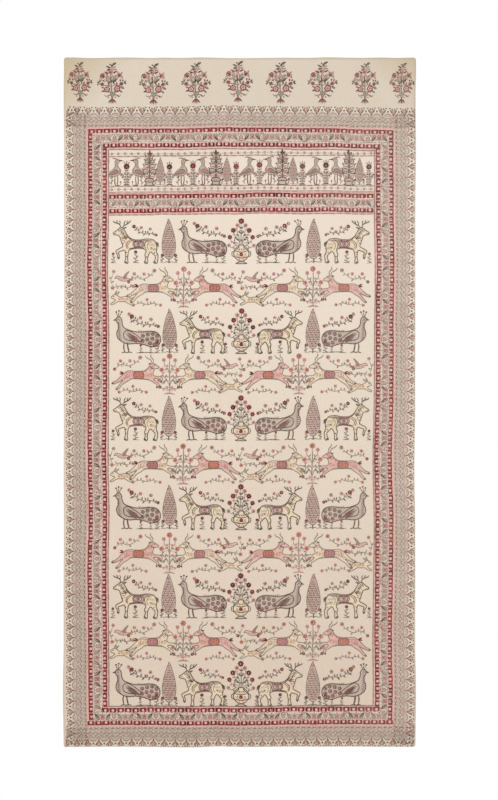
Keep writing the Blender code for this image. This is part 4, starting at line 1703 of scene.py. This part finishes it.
# Heights of the frieze's lines below the top edge, in mm, and the field's upright limits.
FRIEZE_LEFT, FRIEZE_RIGHT = -504.0, 516.0
UPPER_DOTS, UPPER_LINE, LOWER_LINE, LOWER_DOTS, DOUBLE_LINE = 367.0, 375.5, 490.5, 503.0, 515.0
LOWER_CHAIN_TOP, LOWER_LEAVES, LOWER_CHAIN_BOTTOM, FIELD_LINE = 530.0, 558.5, 585.5, 599.5
FRIEZE_GROUND = LOWER_LINE - 2.0
DOT_PITCH = 25.4
# One repeat of the frieze, as (chart, distance from its left end, size, flip).
FRIEZE_REPEAT = (
    ("heron", 29, 1.0, 1), ("rose_bush", 69, 0.94, 1), ("heron", 109, 1.0, -1), ("urn_tree", 157, 1.3, 1),
    ("small_cypress", 198, 0.98, 1), ("rose_bush", 234, 0.9, 1),
)
FRIEZE_REPEATS = 4


def frieze_bands():
    """The chains, leaf band and lines that close the frieze above and below."""
    lines = (
        ("link", LOWER_CHAIN_TOP, LINK_PITCH, 0, 6),
        ("leaves", LOWER_LEAVES, LEAF_PITCH, 0, 1),
        ("link", LOWER_CHAIN_BOTTOM, LINK_PITCH, 180, 6),
        ("rule", FIELD_LINE, LINK_PITCH, 0, 6),
        ("rule", UPPER_LINE, LINK_PITCH, 0, 6),
        ("rule", LOWER_LINE, LINK_PITCH, 0, 6),
        ("double_rule", DOUBLE_LINE, LINK_PITCH, 0, 6),
        ("pip", UPPER_DOTS, DOT_PITCH, 0, 6),
        ("pip", LOWER_DOTS, DOT_PITCH, 0, 6),
    )
    stamps = []
    for chart, line, pitch, turn, per_block in lines:
        stamps += band(chart, "frieze", line, FRIEZE_LEFT, FRIEZE_RIGHT, pitch, turn, per_block)
    return stamps


def frieze_motifs():
    """Herons, bushes and trees in a row; each other heron looks back."""
    width = (FRIEZE_RIGHT - FRIEZE_LEFT) / FRIEZE_REPEATS
    stamps = []
    for repeat in range(FRIEZE_REPEATS):
        for chart, off, size, flip in FRIEZE_REPEAT:
            x = FRIEZE_LEFT + repeat * width + off
            y = -(FRIEZE_GROUND + float(eased(ACROSS_STRAY, "frieze", x)))
            stamps.append(Stamp(chart, x, y, 0, size, flip))
    return stamps


# The heading's sprigs: the root's place to the right of the middle and down from the top edge in mm, the
# lean in degrees, the size, and how far the cloth was eased under the block, which narrowed the print.
SPRIG_ROOTS = (
    (-612, 172, 2.0, 0.96, 0.88), (-490, 178, 1.0, 0.98, 1.0), (-331, 180, 0.5, 0.98, 1.0),
    (-168, 178, 0.5, 0.99, 1.0), (-7, 171, 0.0, 0.99, 1.0), (157, 177, 0.0, 1.0, 1.0),
    (317, 178, -0.5, 1.0, 1.0), (480, 178, -1.0, 0.99, 0.91), (620, 178, -1.0, 0.98, 0.86),
)

# Ground lines of the field's two kinds of row, in mm below the top edge.
STANDING_ROWS = (790, 1136, 1471, 1813, 2155, 2493)
RUNNING_ROWS = (959, 1294, 1640, 1982, 2320)
FIELD_MIDDLE = 6.0
VASE_SIZE = 1.02
# Half of a standing row, from its middle outwards, as (chart, distance, size); the rows alternate.
STANDING_HALVES = (
    (
        ("peacock", 150, 1.06), ("tuft", 68, 0.9), ("cypress", 278, 1.0), ("stag", 404, 0.95),
        ("tuft", 492, 0.8),
    ),
    (
        ("stag", 148, 0.95), ("tuft", 60, 0.8), ("cypress", 275, 1.0), ("peacock", 402, 1.04),
        ("tuft", 322, 0.9),
    ),
)
# One repeat of a running row, as (chart, distance from its left end, size, flip).
RUNNING_REPEAT = (
    ("gazelle", 98, 1.10, 1), ("vine", 84, 1.10, 1), ("shrub", 222, 1.08, 1),
    ("dun_gazelle", 345, 1.10, -1), ("vine", 360, 1.10, -1), ("companions", 458, 1.12, 1),
)
RUNNING_WIDTH = 498.0


def field_stamps():
    """The standing rows, the same to both sides of a vase, and the running rows between them."""
    stamps = []
    for row, ground in enumerate(STANDING_ROWS):
        stamps.append(Stamp("vase", FIELD_MIDDLE, -ground, 0, VASE_SIZE, 1))
        for chart, off, size in STANDING_HALVES[row % 2]:
            for side in (-1, 1):
                stamps.append(Stamp(chart, FIELD_MIDDLE + side * off, -ground, 0, size, side))
    for row, ground in enumerate(RUNNING_ROWS):
        way = 1 if row % 2 else -1
        for repeat in (0, 1):
            for chart, off, size, flip in RUNNING_REPEAT:
                x = FIELD_MIDDLE + way * (off + (repeat - 1) * RUNNING_WIDTH)
                stamps.append(Stamp(chart, x, -ground, 0, size, way * flip))
    return stamps


def stations(length, cells):
    """Distances from one edge to the other: the hem, its inner step, and even cells between."""
    first = HEM_WIDTH + HEM_STEP
    inner = np.linspace(first, length - first, cells + 1)
    return np.array([0.0, HEM_WIDTH, *inner, length - HEM_WIDTH, length])


def sheet_arrays(cells_across, cells_down):
    """The closed, hemmed sheet: its printed face, its back with the turned hem, and a rounded rim."""
    across = stations(CLOTH_WIDTH, cells_across) - CLOTH_WIDTH / 2
    down = stations(CLOTH_LENGTH, cells_down)
    columns, rows = len(across), len(down)
    x, y = (a.ravel() for a in np.meshgrid(across, -down))
    to_edge = np.minimum(CLOTH_WIDTH / 2 - np.abs(x), np.minimum(-y, CLOTH_LENGTH + y))
    at_side = np.isclose(np.abs(x), CLOTH_WIDTH / 2)
    at_end = np.isclose(y, 0.0) | np.isclose(y, -CLOTH_LENGTH)
    corner = at_side & at_end
    x = np.where(corner, x - np.sign(x) * CORNER_DRAW_IN, x)
    way = np.where(y > -CLOTH_LENGTH / 2, 1, -1)
    y = np.where(corner, y - way * CORNER_DRAW_IN, y)
    behind = np.where(to_edge < HEM_WIDTH + HEM_STEP / 2, HALF_CLOTH + HEM_FOLD, HALF_CLOTH)
    index = np.arange(rows * columns).reshape(rows, columns)
    rim = np.concatenate([index[0, :-1], index[:-1, -1], index[-1, :0:-1], index[:0:-1, 0]])
    out_x = np.sign(x[rim]) * RIM_SWELL * at_side[rim]
    out_y = way[rim] * RIM_SWELL * at_end[rim]
    middle = (HALF_CLOTH - behind[rim]) / 2
    flat = np.concatenate([
        np.column_stack([x, y, np.full(len(x), HALF_CLOTH)]),
        np.column_stack([x, y, -behind]),
        np.column_stack([x[rim] + out_x, y[rim] + out_y, middle]),
    ])
    upper, lower = index[:-1], index[1:]
    a, b, c, d = (q.ravel() for q in (upper[:, :-1], lower[:, :-1], lower[:, 1:], upper[:, 1:]))
    back = rows * columns
    swell = 2 * back + np.arange(len(rim))
    next_rim, next_swell = np.roll(rim, -1), np.roll(swell, -1)
    faces = np.concatenate([
        np.column_stack([a, b, c, d]),
        np.column_stack([d, c, b, a]) + back,
        np.column_stack([rim, next_rim, next_swell, swell]),
        np.column_stack([swell, next_swell, next_rim + back, rim + back]),
    ])
    return flat, faces


def stitch_mesh():
    """One visible stitch of the hem: a short thread that dips into the cloth at both ends."""
    bm = bmesh.new()
    hoops = []
    for along, thick in STITCH_SECTIONS:
        hoops.append([
            bm.verts.new((
                along * MM,
                thick * math.cos(math.tau * k / STITCH_SIDES) * MM,
                HALF_CLOTH + thick * (math.sin(math.tau * k / STITCH_SIDES) + STITCH_PROUD) * MM,
            ))
            for k in range(STITCH_SIDES)
        ])
    for hoop, further in zip(hoops, hoops[1:]):
        for k in range(STITCH_SIDES):
            n = (k + 1) % STITCH_SIDES
            bm.faces.new((hoop[k], further[k], further[n], hoop[n]))
    bm.faces.new(hoops[0])
    bm.faces.new(hoops[-1][::-1])
    bmesh.ops.recalc_face_normals(bm, faces=bm.faces)
    bmesh.ops.triangulate(bm, faces=bm.faces)
    mesh = bpy.data.meshes.new("stitch")
    bm.to_mesh(mesh)
    bm.free()
    return mesh


def stitch_stamps(pitch_mm):
    """Running stitches all round, close inside the hem's fold."""
    half, length, inset = CLOTH_WIDTH / MM / 2, CLOTH_LENGTH / MM, STITCH_INSET_MM
    stamps = []
    for line in (-half + inset, half - inset):
        for y in np.arange(inset + pitch_mm, length - inset, pitch_mm):
            stamps.append(Stamp("stitch", line, -y, 90, 1.0, 1))
    for line in (inset, length - inset):
        for x in np.arange(-half + inset + pitch_mm, half - inset, pitch_mm):
            stamps.append(Stamp("stitch", x, -line, 0, 1.0, 1))
    return stamps


class HANGING_OT_sheet(bpy.types.Operator):
    """Hang the hemmed cotton sheet in place of the CAD cloth"""

    bl_idname = "hanging.sheet"
    bl_label = "Hang Cotton Sheet"

    def execute(self, context):
        settings = context.scene.hanging_sheet
        flat, faces = sheet_arrays(settings.cells_across, settings.cells_down)
        cloth = add_piece("cotton_sheet", flat, faces, cotton_material(settings))
        front = np.arange(len(faces)) < len(faces) / 2
        uv = cloth.data.uv_layers["OFBake"].data
        places = np.empty(len(uv) * 2)
        uv.foreach_get("uv", places)
        places = places.reshape(-1, 2)
        # The back's half of the baked map lies beside the front's.
        places[:, 0] = places[:, 0] * FACE_SHARE + np.where(np.repeat(front, 4), 0.0, BACK_START)
        uv.foreach_set("uv", places.ravel())
        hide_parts("printed_cloth")
        return {"FINISHED"}


class HANGING_OT_hem_stitches(bpy.types.Operator):
    """Sew the hem with running stitches"""

    bl_idname = "hanging.hem_stitches"
    bl_label = "Sew Hem"

    def execute(self, context):
        sheet_settings, settings = context.scene.hanging_sheet, context.scene.hanging_print
        thread = thread_material()
        stamps, blocks = stitch_stamps(sheet_settings.stitch_pitch / MM), {"stitch": stitch_mesh()}
        stray = (settings.slip, STITCH_TILT, PRINT_SEED)
        flat, faces = stamped("hem_stitches", blocks, stamps, thread, *stray)
        add_piece("hem_stitches", flat, faces, thread)
        return {"FINISHED"}


class HANGING_OT_heading(bpy.types.Operator):
    """Print the heading's row of flowering sprigs"""

    bl_idname = "hanging.heading"
    bl_label = "Print Heading"

    def execute(self, context):
        stamps = [Stamp("sprig", x, -y, lean, size, narrow) for x, y, lean, size, narrow in SPRIG_ROOTS]
        print_region("heading", {"sprig": sprig_chart()}, stamps)
        return {"FINISHED"}


class HANGING_OT_borders(bpy.types.Operator):
    """Print the outer arches, the chains and the leaf bands"""

    bl_idname = "hanging.borders"
    bl_label = "Print Borders"

    def execute(self, context):
        charts = {
            "arch": arch_chart(), "link": link_chart(), "leaves": leaf_band_chart(), "rule": rule_chart(),
            "edge_rule": edge_rule_chart(), "double_rule": double_rule_chart(), "pip": pip_chart(),
        }
        print_region("borders", charts, nested_borders() + frieze_bands())
        return {"FINISHED"}


class HANGING_OT_frieze(bpy.types.Operator):
    """Print the frieze of herons, urns and small trees"""

    bl_idname = "hanging.frieze"
    bl_label = "Print Frieze"

    def execute(self, context):
        charts = {
            "heron": heron_chart(), "urn_tree": urn_tree_chart(), "rose_bush": rose_bush_chart(),
            "small_cypress": small_cypress_chart(),
        }
        print_region("frieze", charts, frieze_motifs())
        return {"FINISHED"}


class HANGING_OT_field(bpy.types.Operator):
    """Print the field's rows of standing and running animals among trees and flowers"""

    bl_idname = "hanging.field"
    bl_label = "Print Field"

    def execute(self, context):
        charts = {
            "stag": centred(stag_chart()), "peacock": centred(peacock_chart()), "cypress": cypress_chart(),
            "vase": vase_chart(), "shrub": shrub_chart(), "vine": vine_chart(), "tuft": tuft_chart(),
            "gazelle": centred(gazelle_chart("pink", "orange")), "companions": centred(companions_chart()),
            "dun_gazelle": centred(gazelle_chart("ochre", "rose")),
        }
        print_region("field", charts, field_stamps())
        return {"FINISHED"}


class HANGING_OT_back(bpy.types.Operator):
    """Show the print through the cloth on its back"""

    bl_idname = "hanging.back"
    bl_label = "Show Print Through"

    def execute(self, context):
        if not PRINTED:
            raise RuntimeError("the front is printed first")
        for ink, share in SHOWING_THROUGH.items():
            flats, all_faces, count = [], [], 0
            for flat, faces in PRINTED.get(ink, []):
                flats.append(flat)
                all_faces.append(faces[:, ::-1] + count)
                count += len(flat)
            flat = np.concatenate(flats)
            flat[:, 2] = -flat[:, 2] - HALF_CLOTH
            add_piece(f"back_{ink}", flat, np.concatenate(all_faces), ink_for(ink, share))
        return {"FINISHED"}


class HANGING_OT_stage(bpy.types.Operator):
    """Set the pale floor, the soft studio light and the camera"""

    bl_idname = "hanging.stage"
    bl_label = "Set Stage"

    def execute(self, context):
        settings, scene = context.scene.hanging_stage, context.scene
        half, low = FLOOR_HALF, FLOOR_HEIGHT
        mesh = bpy.data.meshes.new("studio_floor")
        corners = [(x * half, y * half, low) for x, y in ((-1, -1), (1, -1), (1, 1), (-1, 1))]
        mesh.from_pydata(corners, [], [(0, 1, 2, 3)])
        floor = bpy.data.objects.new("studio_floor", mesh)
        scene.collection.objects.link(floor)
        material, tree = new_material("matt_white_floor")
        pale = {"Base Color": linear(FLOOR_COLOUR), "Roughness": FLOOR_ROUGHNESS}
        shader = add_node(tree, "ShaderNodeBsdfPrincipled", pale)
        add_node(tree, "ShaderNodeOutputMaterial", None, {"Surface": shader.outputs["BSDF"]})
        mesh.materials.append(material)

        lamp = bpy.data.lights.new("soft_key", "AREA")
        lamp.shape = "DISK"
        lamp.size = KEY_SIZE
        lamp.energy = settings.key_power
        key = bpy.data.objects.new("soft_key", lamp)
        key.location = KEY_PLACE
        key.rotation_euler = (Vector(VIEW_CENTRE) - Vector(KEY_PLACE)).to_track_quat("-Z", "Y").to_euler()
        scene.collection.objects.link(key)

        world = bpy.data.worlds.new("white_studio")
        world.use_nodes = True
        background = world.node_tree.nodes["Background"]
        background.inputs["Color"].default_value = (1.0, 1.0, 1.0, 1.0)
        background.inputs["Strength"].default_value = settings.surround
        scene.world = world
        scene.view_settings.view_transform = "Standard"

        lens = bpy.data.cameras.new("camera")
        lens.lens = lens.sensor_width * settings.distance / settings.frame_height
        lens.clip_end = CAMERA_REACH
        camera = bpy.data.objects.new("camera", lens)
        camera.location = (VIEW_CENTRE[0], -settings.distance, VIEW_CENTRE[2])
        camera.rotation_euler = (math.radians(90.0), 0.0, 0.0)
        scene.collection.objects.link(camera)
        scene.camera = camera
        return {"FINISHED"}


class HANGING_PT_panel(bpy.types.Panel):
    """Settings and steps of the hanging"""

    bl_label = "Printed Cotton Hanging"
    bl_space_type = "VIEW_3D"
    bl_region_type = "UI"
    bl_category = "Hanging"

    def draw(self, context):
        for owner in ("hanging_sheet", "hanging_print", "hanging_stage"):
            settings = getattr(context.scene, owner)
            box = self.layout.box()
            for name in settings.__annotations__:
                box.prop(settings, name)
        for step in OPERATORS:
            self.layout.operator(step.bl_idname)


OPERATORS = (
    HANGING_OT_sheet, HANGING_OT_hem_stitches, HANGING_OT_heading, HANGING_OT_borders, HANGING_OT_frieze,
    HANGING_OT_field, HANGING_OT_back, HANGING_OT_stage,
)
CLASSES = (HangingSheetSettings, HangingPrintSettings, HangingStageSettings, *OPERATORS, HANGING_PT_panel)


def register():
    """Add the settings, steps and panel to Blender."""
    for each in CLASSES:
        bpy.utils.register_class(each)
    bpy.types.Scene.hanging_sheet = PointerProperty(type=HangingSheetSettings)
    bpy.types.Scene.hanging_print = PointerProperty(type=HangingPrintSettings)
    bpy.types.Scene.hanging_stage = PointerProperty(type=HangingStageSettings)


def unregister():
    """Take them away again."""
    del bpy.types.Scene.hanging_sheet
    del bpy.types.Scene.hanging_print
    del bpy.types.Scene.hanging_stage
    for each in reversed(CLASSES):
        bpy.utils.unregister_class(each)


def main():
    register()
    bpy.ops.hanging.sheet()
    bpy.ops.hanging.hem_stitches()
    bpy.ops.hanging.heading()
    bpy.ops.hanging.borders()
    bpy.ops.hanging.frieze()
    bpy.ops.hanging.field()
    bpy.ops.hanging.back()
    bpy.ops.hanging.stage()


if __name__ == "__main__":
    main()
